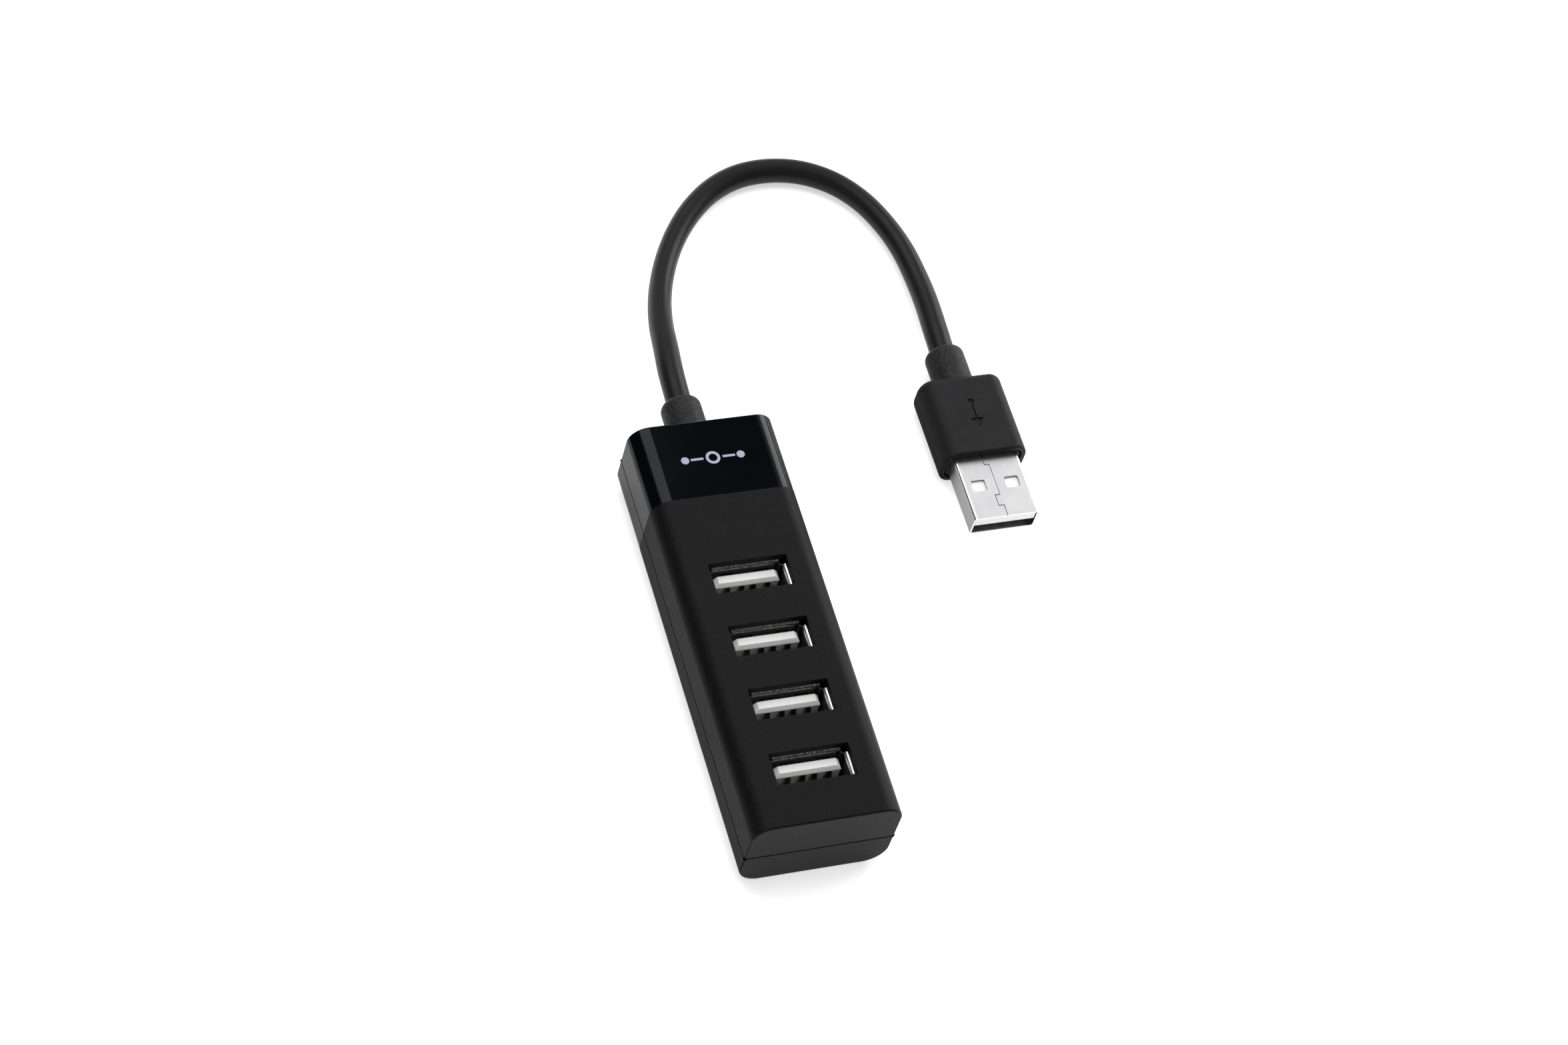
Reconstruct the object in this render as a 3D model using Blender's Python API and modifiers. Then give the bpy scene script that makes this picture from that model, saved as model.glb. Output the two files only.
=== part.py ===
"""A four-socket USB hub with a short fixed lead and an A plug.

Metres, +Z up. The origin is the centre of the casing's underside: +X runs across the casing,
+Y along it towards the end that the lead leaves, and the sockets open upwards.
"""

import math

import bmesh
import bpy
from mathutils import Matrix, Vector
from mathutils.geometry import interpolate_bezier

# Casing
HUB_LENGTH = 0.0780
HUB_WIDTH = 0.0256
HUB_HEIGHT = 0.0167
TOP_RADIUS = 0.0035
BASE_RADIUS = 0.0040
WALL = 0.0012
PARTING_HEIGHT = 0.0076
PARTING_GAP = 0.0002
LIP_WALL = 0.0021
LIP_CLEARANCE = 0.0003
LIP_RISE = 0.0012
LIP_DEPTH = 0.0012
FIT_GAP = 0.0003
FINE_GAP = 0.00015
CORNER_STEPS = 6
ROUND_SIDES = 20

# Circuit board and what stands on it
BOARD_SIZE = (0.0206, 0.0700, 0.0010)
BOARD_Y = -0.0015
BOARD_TOP = 0.0030
POST_RADIUS = 0.0015
POST_X = 0.0080
POST_Y = 0.0300
CHIP_SIZE = (0.0039, 0.0087, 0.0014)
CHIP_Y = 0.0190
CHIP_LEGS_A_SIDE = 8
CHIP_LEG_PITCH = 0.00108
CRYSTAL_SIZE = (0.0100, 0.0038, 0.0034)
CRYSTAL_Y = 0.0265
CAPACITORS = {"capacitor_main": (0.0072, 0.0190, 0.0025), "capacitor_bypass": (-0.0072, 0.0190, 0.0020)}
CAPACITOR_HEIGHT = 0.0054

# Sockets
SOCKETS = 4
SOCKET_PITCH = 0.01215
FIRST_SOCKET_Y = 0.00785
SLOT_SIZE = (0.0135, 0.00575)
SOCKET_INNER = (0.0125, 0.00512)
SHEET = 0.0003
SOCKET_RIM = HUB_HEIGHT - WALL - FIT_GAP
SOCKET_CORNER = 0.0005
SPRING_X = 0.0031
SPRING_WIDTH = 0.0016
SPRING_WINDOW = (0.0022, 0.0056)
SPRING_BASE_Z = 0.0080
BASE_HEIGHT = 0.0012
TONGUE_SIZE = (0.0111, 0.00184)
TONGUE_BACK_Y = 0.0019
TONGUE_TIP = SOCKET_RIM - 0.0012
TONGUE_CHAMFER = 0.0004
CONTACT_X = (-0.0035, -0.0010, 0.0010, 0.0035)
CONTACT_WIDTH = 0.0009
CONTACT_SHEET = 0.0002
GROOVE_WIDTH = 0.0012
GROOVE_DEPTH = 0.00055

# Strain relief where the lead leaves the casing
LEAD_HEIGHT = HUB_HEIGHT / 2
BOOT_RADIUS = 0.00355
BOOT_END_Y = 0.0484
BOOT_SHOULDER = 0.0014
NECK_RADIUS = 0.0027
FLANGE_THICKNESS = 0.0012
TURNED_STEPS = 24

# Plug: its own origin is the middle of its mouth
PLUG_PLACE = (0.0517, 0.0187, 0.00415)
PLUG_SHELL = (0.0120, 0.0045)
PLUG_SHELL_LENGTH = 0.0185
PLUG_CORNER = 0.0005
PLUG_HOLE = (0.0026, 0.0023)
PLUG_HOLE_X = 0.0031
PLUG_HOLE_Y = 0.0067
INSULATOR_THICKNESS = 0.0018
INSULATOR_RECESS = 0.00015
PLUG_CONTACT = (0.0010, 0.0090, 0.0002)
PLUG_CONTACT_Y = 0.0060
OVERMOULD_SIZE = (0.0157, 0.0165, 0.0082)
OVERMOULD_FRONT = 0.0124
OVERMOULD_CORNER = (0.0026, 0.0032)
OVERMOULD_BACK_ROUND = 0.0015
PLUG_BOOT_END = 0.0365
POCKET_WALL = 0.0009
POCKET_DEPTH = 0.0086
POCKET_CORNER = 0.0022

# Lead: a free cord, and four wires from its end to the board
CORD_DIAMETER = 0.0043
CORD_STEP = 0.0040
WIRE_DIAMETER = 0.0009
WIRE_X = {"wire_power": -0.0018, "wire_data_minus": -0.0006, "wire_data_plus": 0.0006, "wire_ground": 0.0018}
# The cord's route, from the casing's strain relief to the plug's boot: level out of the
# casing, down to the surface, round in one loose loop lying on it, and up to the plug.
CORD_ROUTE = (
    (0.0000, 0.0487, 0.00835),
    (0.0004, 0.0548, 0.0081),
    (0.0013, 0.0609, 0.0070),
    (0.0023, 0.0667, 0.0055),
    (0.0038, 0.0725, 0.0041),
    (0.0059, 0.0782, 0.0030),
    (0.0086, 0.0838, 0.0024),
    (0.0120, 0.0891, 0.0022),
    (0.0161, 0.0938, 0.0022),
    (0.0209, 0.0976, 0.0022),
    (0.0264, 0.1000, 0.0022),
    (0.0325, 0.1006, 0.0022),
    (0.0385, 0.0994, 0.0022),
    (0.0438, 0.0963, 0.0022),
    (0.0478, 0.0917, 0.0022),
    (0.0505, 0.0861, 0.0022),
    (0.0521, 0.0801, 0.0023),
    (0.0527, 0.0739, 0.0025),
    (0.0527, 0.0677, 0.0030),
    (0.0522, 0.0615, 0.0037),
    (0.0517, 0.0555, 0.00415),
)

BLACK = (0.014, 0.014, 0.015)
RUBBER_BLACK = (0.011, 0.011, 0.012)
STEEL = (0.62, 0.62, 0.60)
WHITE = (0.78, 0.78, 0.76)
GOLD = (0.80, 0.58, 0.26)
BOARD_GREEN = (0.02, 0.16, 0.07)


def start_clean():
    for old in list(bpy.data.objects):
        bpy.data.objects.remove(old, do_unlink=True)


def new_collection(name):
    made = bpy.data.collections.new(name)
    bpy.context.scene.collection.children.link(made)
    return made


def empty(name, place, parent=None):
    """A named point that parts are placed from."""
    made = bpy.data.objects.new(name, None)
    made.location = place
    made.parent = parent
    parts.objects.link(made)
    return made


def part(name, data, colour, roughness, metallic=0.0, parent=None, place=(0, 0, 0)):
    """One piece of the hub, with a material of its own."""
    made = bpy.data.objects.new(name, data)
    made.location = place
    made.parent = parent
    parts.objects.link(made)
    finish = bpy.data.materials.new(name)
    finish.use_nodes = True
    shader = finish.node_tree.nodes["Principled BSDF"]
    shader.inputs["Base Color"].default_value = (*colour, 1.0)
    shader.inputs["Roughness"].default_value = roughness
    shader.inputs["Metallic"].default_value = metallic
    data.materials.append(finish)
    return made


def tool(name, data, parent=None, place=(0, 0, 0)):
    """A shape that only cuts or joins onto other pieces."""
    made = bpy.data.objects.new(name, data)
    made.location = place
    made.parent = parent
    made.display_type = "WIRE"
    made.hide_render = True
    tools.objects.link(made)
    return made


def combine(target, other, operation):
    step = target.modifiers.new(f"{operation.lower()}_{other.name}", "BOOLEAN")
    step.operation = operation
    step.object = other
    step.solver = "EXACT"


def mesh_from(bm, name, smooth_angle=None):
    bmesh.ops.recalc_face_normals(bm, faces=bm.faces)
    mesh = bpy.data.meshes.new(name)
    bm.to_mesh(mesh)
    bm.free()
    if smooth_angle is not None:
        mesh.shade_smooth()
        mesh.set_sharp_from_angle(angle=math.radians(smooth_angle))
    return mesh


def block(size, centre):
    """A box of that size about that centre."""
    bm = bmesh.new()
    bmesh.ops.create_cube(bm, matrix=Matrix.LocRotScale(centre, None, size))
    return bm


def rounded_outline(half_width, low, high, low_radius, high_radius, steps=CORNER_STEPS):
    """Points round a box outline, whose upper and lower corners may be rounded differently.

    A radius is one number, or two for a corner that is wider than it is high."""
    low_x, low_z = low_radius if isinstance(low_radius, tuple) else (low_radius, low_radius)
    high_x, high_z = high_radius if isinstance(high_radius, tuple) else (high_radius, high_radius)
    corners = (
        (half_width - low_x, low + low_z, low_x, low_z, -90),
        (half_width - high_x, high - high_z, high_x, high_z, 0),
        (high_x - half_width, high - high_z, high_x, high_z, 90),
        (low_x - half_width, low + low_z, low_x, low_z, 180),
    )
    points = []
    for centre_x, centre_z, radius_x, radius_z, start in corners:
        for step in range(steps + 1):
            angle = math.radians(start + 90 * step / steps)
            points.append((centre_x + radius_x * math.cos(angle), centre_z + radius_z * math.sin(angle)))
    return points


def prism(outline, start, end, axis):
    """The outline drawn out along an axis: an X-Z outline along Y, X-Y along Z, Y-Z along X."""
    along = {"X": Vector((1, 0, 0)), "Y": Vector((0, 1, 0)), "Z": Vector((0, 0, 1))}[axis]
    across = [Vector(v) for v in ((1, 0, 0), (0, 1, 0), (0, 0, 1)) if Vector(v) != along]
    bm = bmesh.new()
    ring = [bm.verts.new(across[0] * a + across[1] * b + along * start) for a, b in outline]
    face = bm.faces.new(ring)
    drawn = bmesh.ops.extrude_face_region(bm, geom=[face])["geom"]
    moved = [v for v in drawn if isinstance(v, bmesh.types.BMVert)]
    bmesh.ops.translate(bm, verts=moved, vec=along * (end - start))
    return bm


def keep_between(bm, low, high):
    """Cuts a solid level at two heights, and closes the cuts."""
    for height, up in ((low, -1), (high, 1)):
        everything = bm.verts[:] + bm.edges[:] + bm.faces[:]
        cut = bmesh.ops.bisect_plane(
            bm, geom=everything, plane_co=(0, 0, height), plane_no=(0, 0, up), clear_outer=True
        )
        rim = [e for e in cut["geom_cut"] if isinstance(e, bmesh.types.BMEdge)]
        if rim:
            bmesh.ops.contextual_create(bm, geom=rim)
    return bm


def cylinder_y(radius, start, end, height):
    """A cylinder along Y, at that height above the casing's underside."""
    bm = bmesh.new()
    turn = Matrix.Translation((0, (start + end) / 2, height)) @ Matrix.Rotation(math.pi / 2, 4, "X")
    depth = end - start
    bmesh.ops.create_cone(
        bm, cap_ends=True, segments=TURNED_STEPS, radius1=radius, radius2=radius, depth=depth, matrix=turn
    )
    return bm


def upright_cylinder(radius, low, high, place):
    """A cylinder along Z, between two heights."""
    bm = bmesh.new()
    middle = Matrix.Translation((*place, (low + high) / 2))
    depth = high - low
    bmesh.ops.create_cone(
        bm, cap_ends=True, segments=ROUND_SIDES, radius1=radius, radius2=radius, depth=depth, matrix=middle
    )
    return bm


def turned_profile(name, profile):
    """An open line of (radius, distance along the axis), from the far end of a round piece back."""
    bm = bmesh.new()
    points = [bm.verts.new((radius, 0, along)) for radius, along in profile]
    for first, second in zip(points, points[1:]):
        bm.edges.new((first, second))
    return mesh_from(bm, name)


def turn(made):
    """Turns an object's profile into a closed round solid, and lays its axis along +Y."""
    made.rotation_euler.x = -math.pi / 2
    spin = made.modifiers.new("turn", "SCREW")
    spin.axis = "Z"
    spin.steps = TURNED_STEPS
    spin.render_steps = TURNED_STEPS
    spin.use_merge_vertices = True
    spin.merge_threshold = 0.00001


def shoulder(radius, end, steps=4):
    """The rounded far corner of a boot, from its flat end face to its side."""
    middle = radius - BOOT_SHOULDER
    points = []
    for step in range(steps + 1):
        angle = math.radians(90 - 90 * step / steps)
        points.append(
            (middle + BOOT_SHOULDER * math.cos(angle), end - BOOT_SHOULDER + BOOT_SHOULDER * math.sin(angle))
        )
    return points


# ---------------------------------------------------------------- casing


def casing_body(inset, low, high):
    """The casing's rounded bar, made smaller all round by the inset, between two heights."""
    outline = rounded_outline(
        HUB_WIDTH / 2 - inset, inset, HUB_HEIGHT - inset, BASE_RADIUS - inset, TOP_RADIUS - inset
    )
    end = HUB_LENGTH / 2 - inset
    return keep_between(prism(outline, -end, end, "Y"), low, high)


def socket_y(number):
    return FIRST_SOCKET_Y - number * SOCKET_PITCH


def lead_openings(hub):
    """The hole that the strain relief's neck passes through, and the pocket for its flange."""
    outside, inside = HUB_LENGTH / 2, HUB_LENGTH / 2 - WALL
    neck = cylinder_y(NECK_RADIUS + FIT_GAP, inside - WALL, outside + WALL, LEAD_HEIGHT)
    flange = cylinder_y(BOOT_RADIUS + FIT_GAP, inside - 2 * WALL, inside - FINE_GAP, LEAD_HEIGHT)
    return (
        tool("neck_hole", mesh_from(neck, "neck_hole"), hub),
        tool("flange_pocket", mesh_from(flange, "flange_pocket"), hub),
    )


def top_shell(hub, neck_hole):
    low = PARTING_HEIGHT + PARTING_GAP / 2
    body = casing_body(0, low, HUB_HEIGHT + WALL)
    made = part("top_shell", mesh_from(body, "top_shell", 30), BLACK, 0.5, 0.0, hub)
    hollow = casing_body(WALL, low - WALL, HUB_HEIGHT)
    combine(made, tool("top_hollow", mesh_from(hollow, "top_hollow"), hub), "DIFFERENCE")
    for number in range(SOCKETS):
        slot = block((*SLOT_SIZE, 4 * WALL), (0, socket_y(number), HUB_HEIGHT))
        name = f"slot_{number + 1}"
        combine(made, tool(name, mesh_from(slot, name), hub), "DIFFERENCE")
    combine(made, neck_hole, "DIFFERENCE")


def bottom_shell(hub, neck_hole, flange_pocket):
    """The lower half: its rim has an inner lip that stands up inside the top shell."""
    rim = PARTING_HEIGHT - PARTING_GAP / 2
    body = casing_body(0, -WALL, rim)
    made = part("bottom_shell", mesh_from(body, "bottom_shell", 30), BLACK, 0.5, 0.0, hub)
    lip = casing_body(WALL + LIP_CLEARANCE, rim - LIP_DEPTH, rim + LIP_RISE)
    combine(made, tool("lip", mesh_from(lip, "lip"), hub), "UNION")
    hollow = casing_body(WALL, 0, rim - LIP_DEPTH)
    combine(made, tool("bottom_hollow", mesh_from(hollow, "bottom_hollow"), hub), "DIFFERENCE")
    throat = casing_body(LIP_WALL, rim - 3 * LIP_DEPTH, rim + 2 * LIP_RISE)
    combine(made, tool("lip_hollow", mesh_from(throat, "lip_hollow"), hub), "DIFFERENCE")
    combine(made, neck_hole, "DIFFERENCE")
    combine(made, flange_pocket, "DIFFERENCE")
    top = BOARD_TOP - BOARD_SIZE[2] - FIT_GAP
    foot = WALL / 2
    for x in (-POST_X, POST_X):
        for y in (-POST_Y, POST_Y):
            bm = upright_cylinder(POST_RADIUS, foot, top, (x, y))
            name = f"board_post_{'left' if x < 0 else 'right'}_{'near' if y < 0 else 'far'}"
            combine(made, tool(name, mesh_from(bm, name), hub), "UNION")


# ---------------------------------------------------------------- board


def circuit_board(hub):
    thickness = BOARD_SIZE[2]
    body = block(BOARD_SIZE, (0, BOARD_Y, BOARD_TOP - thickness / 2))
    upright = [e for e in body.edges if abs(e.verts[0].co.z - e.verts[1].co.z) > thickness / 2]
    bmesh.ops.bevel(body, geom=upright, offset=0.001, segments=3, profile=0.5, affect="EDGES")
    part("circuit_board", mesh_from(body, "circuit_board", 30), BOARD_GREEN, 0.35, 0.0, hub)


def hub_chip(hub):
    """The hub's controller: a flat case with a row of bent legs on each long side."""
    lift = FIT_GAP + FINE_GAP
    width, length, height = CHIP_SIZE
    middle = BOARD_TOP + lift + height / 2
    body = block(CHIP_SIZE, (0, CHIP_Y, middle))
    made = part("hub_chip", mesh_from(body, "hub_chip"), BLACK, 0.6, 0.0, hub)
    reach = 0.0010
    leg_width = 0.0004
    foot = BOARD_TOP + FINE_GAP
    for side in (-1, 1):
        root, elbow, tip = width / 2 - 0.0003, width / 2 + 0.0004, width / 2 + reach
        outline = (
            (root, middle + 0.0001),
            (elbow + 0.0002, middle + 0.0001),
            (elbow + 0.0002, foot + 0.0002),
            (tip, foot + 0.0002),
            (tip, foot),
            (elbow, foot),
            (elbow, middle - 0.0001),
            (root, middle - 0.0001),
        )
        for number in range(CHIP_LEGS_A_SIDE):
            along = CHIP_Y + (number - (CHIP_LEGS_A_SIDE - 1) / 2) * CHIP_LEG_PITCH
            bend = [(side * x, z) for x, z in outline]
            leg = prism(bend, along - leg_width / 2, along + leg_width / 2, "Y")
            name = f"chip_leg_{'left' if side < 0 else 'right'}_{number + 1}"
            combine(made, tool(name, mesh_from(leg, name), hub), "UNION")


def crystal(hub):
    """The clock crystal's low metal can, with round ends."""
    length, width, height = CRYSTAL_SIZE
    outline = rounded_outline(length / 2, -width / 2, width / 2, width / 2 - 0.0001, width / 2 - 0.0001)
    low = BOARD_TOP + FIT_GAP
    body = prism(outline, low, low + height, "Z")
    part("crystal", mesh_from(body, "crystal", 40), STEEL, 0.3, 1.0, hub, (0, CRYSTAL_Y, 0))


def capacitor(hub, name, x, y, radius):
    low = BOARD_TOP + FIT_GAP
    bm = upright_cylinder(radius, low, low + CAPACITOR_HEIGHT, (0, 0))
    part(name, mesh_from(bm, name, 40), STEEL, 0.35, 1.0, hub, (x, y, 0))


# ---------------------------------------------------------------- sockets


def strip(centreline, thickness, width, x):
    """A bent strip of sheet: a centreline of (y, z) points with a thickness, drawn out across X."""
    front, back = [], []
    for index, (y, z) in enumerate(centreline):
        before = Vector(centreline[max(index - 1, 0)])
        after = Vector(centreline[min(index + 1, len(centreline) - 1)])
        along = (after - before).normalized()
        side = Vector((-along.y, along.x)) * thickness / 2
        front.append((y + side.x, z + side.y))
        back.append((y - side.x, z - side.y))
    return prism(front + back[::-1], x - width / 2, x + width / 2, "X")


def socket_shell(socket, number):
    """The steel shell: an open tube with two sprung fingers in each long wall."""
    half_x, half_y = SOCKET_INNER[0] / 2, SOCKET_INNER[1] / 2
    low = BOARD_TOP + FIT_GAP
    name = f"socket_shell_{number}"
    outer_radius = SOCKET_CORNER + SHEET
    outer = rounded_outline(half_x + SHEET, -half_y - SHEET, half_y + SHEET, outer_radius, outer_radius, 3)
    made = part(name, mesh_from(prism(outer, low, SOCKET_RIM, "Z"), name, 30), STEEL, 0.3, 1.0, socket)
    inner = rounded_outline(half_x, -half_y, half_y, SOCKET_CORNER, SOCKET_CORNER, 3)
    bore = prism(inner, low - WALL, SOCKET_RIM + WALL, "Z")
    combine(made, tool(f"socket_bore_{number}", mesh_from(bore, "bore"), socket), "DIFFERENCE")
    window_z = SPRING_BASE_Z + SPRING_WINDOW[1] / 2
    wall_y = half_y + SHEET / 2
    for side in (-1, 1):
        for x in (-SPRING_X, SPRING_X):
            label = f"{number}_{'near' if side < 0 else 'far'}_{'left' if x < 0 else 'right'}"
            window = block((SPRING_WINDOW[0], 4 * SHEET, SPRING_WINDOW[1]), (x, side * wall_y, window_z))
            combine(made, tool(f"window_{label}", mesh_from(window, "window"), socket), "DIFFERENCE")
            bend = (
                (wall_y, SPRING_BASE_Z - 0.0004),
                (wall_y, SPRING_BASE_Z + 0.0002),
                (wall_y - 0.0004, SPRING_BASE_Z + 0.0038),
                (wall_y - 0.0001, SPRING_BASE_Z + 0.0050),
            )
            finger = strip([(side * y, z) for y, z in bend], 0.8 * SHEET, SPRING_WIDTH, x)
            combine(made, tool(f"finger_{label}", mesh_from(finger, "finger"), socket), "UNION")


def socket_tongue(socket, number):
    """The white moulding: a base in the foot of the shell, and a tongue with a groove for each contact."""
    low = BOARD_TOP + FIT_GAP
    base_x, base_y = (side - 2 * FINE_GAP for side in SOCKET_INNER)
    name = f"socket_tongue_{number}"
    base = block((base_x, base_y, BASE_HEIGHT), (0, 0, low + BASE_HEIGHT / 2))
    made = part(name, mesh_from(base, name), WHITE, 0.45, 0.0, socket)
    width, thickness = TONGUE_SIZE
    foot = low + BASE_HEIGHT / 2
    middle_y = TONGUE_BACK_Y - thickness / 2
    tongue = block((width, thickness, TONGUE_TIP - foot), (0, middle_y, (foot + TONGUE_TIP) / 2))
    tip = [e for e in tongue.edges if min(v.co.z for v in e.verts) > TONGUE_TIP - FINE_GAP]
    bmesh.ops.bevel(tongue, geom=tip, offset=TONGUE_CHAMFER, segments=1, affect="EDGES")
    combine(made, tool(f"tongue_blade_{number}", mesh_from(tongue, "blade"), socket), "UNION")
    near_y = TONGUE_BACK_Y - thickness
    groove_top = TONGUE_TIP - 0.0006
    groove_size = (GROOVE_WIDTH, GROOVE_DEPTH + FINE_GAP, groove_top)
    for index, x in enumerate(CONTACT_X):
        groove = block(groove_size, (x, near_y + (GROOVE_DEPTH - FINE_GAP) / 2, groove_top / 2))
        label = f"groove_{number}_{index + 1}"
        combine(made, tool(label, mesh_from(groove, label), socket), "DIFFERENCE")


def socket_contacts(socket, number):
    """Four sprung strips that lie in the tongue's grooves and bow out of them near the tip."""
    near_y = TONGUE_BACK_Y - TONGUE_SIZE[1]
    seat_y = near_y + GROOVE_DEPTH - FINE_GAP - CONTACT_SHEET / 2
    centreline = (
        (seat_y, BOARD_TOP + FINE_GAP),
        (seat_y, TONGUE_TIP - 0.0050),
        (near_y - 0.0004, TONGUE_TIP - 0.0021),
        (near_y - 0.0004, TONGUE_TIP - 0.0017),
        (seat_y - 0.0001, TONGUE_TIP - 0.0008),
    )
    for index, x in enumerate(CONTACT_X):
        name = f"socket_contact_{number}_{index + 1}"
        body = strip(centreline, CONTACT_SHEET, CONTACT_WIDTH, x)
        part(name, mesh_from(body, name), GOLD, 0.3, 1.0, socket)


# ---------------------------------------------------------------- lead


def cord_boot(hub):
    """The strain relief: a stub with a round shoulder, a neck in the wall and a flange behind it."""
    outside = HUB_LENGTH / 2 + FIT_GAP
    inside = HUB_LENGTH / 2 - WALL - FIT_GAP
    back = inside - FLANGE_THICKNESS
    profile = [(0, BOOT_END_Y), *shoulder(BOOT_RADIUS, BOOT_END_Y)]
    profile += [(BOOT_RADIUS, outside), (NECK_RADIUS, outside), (NECK_RADIUS, inside)]
    profile += [(BOOT_RADIUS, inside), (BOOT_RADIUS, back), (0, back)]
    outline = turned_profile("cord_boot", profile)
    turn(part("cord_boot", outline, RUBBER_BLACK, 0.7, 0.0, hub, (0, 0, LEAD_HEIGHT)))


def smooth_route(points, step):
    """Evenly spaced points on one smooth curve through the route's own points."""
    route = [Vector(p) for p in points]
    fine = [route[0]]
    for index in range(len(route) - 1):
        before = route[max(index - 1, 0)]
        start, end = route[index], route[index + 1]
        after = route[min(index + 2, len(route) - 1)]
        fine += interpolate_bezier(start, start + (end - before) / 6, end - (after - start) / 6, end, 17)[1:]
    travelled = [0.0]
    for first, second in zip(fine, fine[1:]):
        travelled.append(travelled[-1] + (second - first).length)
    count = round(travelled[-1] / step)
    even, index = [], 0
    for number in range(count + 1):
        wanted = travelled[-1] * number / count
        while index < len(fine) - 2 and travelled[index + 1] < wanted:
            index += 1
        share = (wanted - travelled[index]) / (travelled[index + 1] - travelled[index])
        even.append(fine[index].lerp(fine[index + 1], share))
    return even


def cable(name, points, diameter, sides, colour, roughness, parent):
    """A round cable along a line of points, closed at both ends."""
    curve = bpy.data.curves.new(name, "CURVE")
    curve.dimensions = "3D"
    curve.bevel_depth = diameter / 2
    curve.bevel_resolution = sides
    curve.use_fill_caps = True
    line = curve.splines.new("POLY")
    line.points.add(len(points) - 1)
    for point, place in zip(line.points, points):
        point.co = (*place, 1.0)
    return part(name, curve, colour, roughness, 0.0, parent)


def wires(hub):
    """The lead's four wires, from the strain relief's flange down to the board."""
    start_y = HUB_LENGTH / 2 - WALL - 2 * FIT_GAP - FLANGE_THICKNESS
    end_z = BOARD_TOP + FIT_GAP
    for name, x in WIRE_X.items():
        route = (
            (x, start_y, LEAD_HEIGHT),
            (1.2 * x, start_y - 0.0020, LEAD_HEIGHT - 0.0002),
            (1.6 * x, start_y - 0.0040, LEAD_HEIGHT - 0.0018),
            (1.8 * x, start_y - 0.0050, LEAD_HEIGHT - 0.0034),
            (1.8 * x, start_y - 0.0051, end_z),
        )
        cable(name, smooth_route(route, 0.0012), WIRE_DIAMETER, 1, BLACK, 0.5, hub)


# ---------------------------------------------------------------- plug


def plug_shell(plug):
    """The steel shell: a tube with two latch holes in each wide wall."""
    width, height = PLUG_SHELL
    outline = rounded_outline(width / 2, -height / 2, height / 2, PLUG_CORNER, PLUG_CORNER, 3)
    body = prism(outline, 0, PLUG_SHELL_LENGTH, "Y")
    made = part("plug_shell", mesh_from(body, "plug_shell", 30), STEEL, 0.25, 1.0, plug)
    radius = PLUG_CORNER - SHEET
    inner = rounded_outline(width / 2 - SHEET, SHEET - height / 2, height / 2 - SHEET, radius, radius, 3)
    bore = prism(inner, -WALL, PLUG_SHELL_LENGTH + WALL, "Y")
    combine(made, tool("plug_bore", mesh_from(bore, "plug_bore"), plug), "DIFFERENCE")
    for x in (-PLUG_HOLE_X, PLUG_HOLE_X):
        hole = block((*PLUG_HOLE, 2 * height), (x, PLUG_HOLE_Y, 0))
        name = f"latch_hole_{'left' if x < 0 else 'right'}"
        combine(made, tool(name, mesh_from(hole, name), plug), "DIFFERENCE")


def plug_insulator(plug):
    """The white blade under the seamed wall, and the block behind it that fills the shell."""
    inner_x = PLUG_SHELL[0] / 2 - SHEET - FINE_GAP
    top = PLUG_SHELL[1] / 2 - SHEET - FINE_GAP
    blade_low = top - INSULATOR_THICKNESS
    back = PLUG_SHELL_LENGTH - FIT_GAP
    block_start = PLUG_CONTACT_Y + PLUG_CONTACT[1] / 2 + FIT_GAP
    outline = (
        (INSULATOR_RECESS, top),
        (INSULATOR_RECESS, blade_low),
        (block_start, blade_low),
        (block_start, -top),
        (back, -top),
        (back, top),
    )
    body = prism(outline, -inner_x, inner_x, "X")
    part("plug_insulator", mesh_from(body, "plug_insulator"), WHITE, 0.45, 0.0, plug)
    contact_z = blade_low - 0.00005 - PLUG_CONTACT[2] / 2
    for index, x in enumerate(CONTACT_X):
        name = f"plug_contact_{index + 1}"
        body = block(PLUG_CONTACT, (x, PLUG_CONTACT_Y, contact_z))
        part(name, mesh_from(body, name), GOLD, 0.3, 1.0, plug)


def plug_pocket(name, width, height, radius, start, end, plug):
    """A cutter for a rounded pocket that opens towards the plug's mouth."""
    outline = rounded_outline(width / 2, -height / 2, height / 2, radius, radius, 4)
    return tool(name, mesh_from(prism(outline, start - WALL, end, "Y"), name), plug)


def plug_overmould(plug):
    """The outer grip, in one moulding with the boot that the cord enters."""
    width, length, height = OVERMOULD_SIZE
    outline = rounded_outline(width / 2, -height / 2, height / 2, OVERMOULD_CORNER, OVERMOULD_CORNER)
    body = prism(outline, OVERMOULD_FRONT, OVERMOULD_FRONT + length, "Y")
    back = [e for e in body.edges if min(v.co.y for v in e.verts) > OVERMOULD_FRONT + length / 2]
    bmesh.ops.bevel(body, geom=back, offset=OVERMOULD_BACK_ROUND, segments=3, profile=0.5, affect="EDGES")
    made = part("plug_overmould", mesh_from(body, "plug_overmould", 35), BLACK, 0.55, 0.0, plug)

    root = OVERMOULD_FRONT + length - 2 * OVERMOULD_BACK_ROUND
    profile = [(0, PLUG_BOOT_END), *shoulder(BOOT_RADIUS, PLUG_BOOT_END), (BOOT_RADIUS, root), (0, root)]
    boot = tool("plug_boot", turned_profile("plug_boot", profile), plug)
    turn(boot)
    combine(made, boot, "UNION")

    pocket_width, pocket_height = width - 2 * POCKET_WALL, height - 2 * POCKET_WALL
    end = OVERMOULD_FRONT + POCKET_DEPTH
    pocket = plug_pocket(
        "overmould_pocket", pocket_width, pocket_height, POCKET_CORNER, OVERMOULD_FRONT, end, plug
    )
    combine(made, pocket, "DIFFERENCE")


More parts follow.
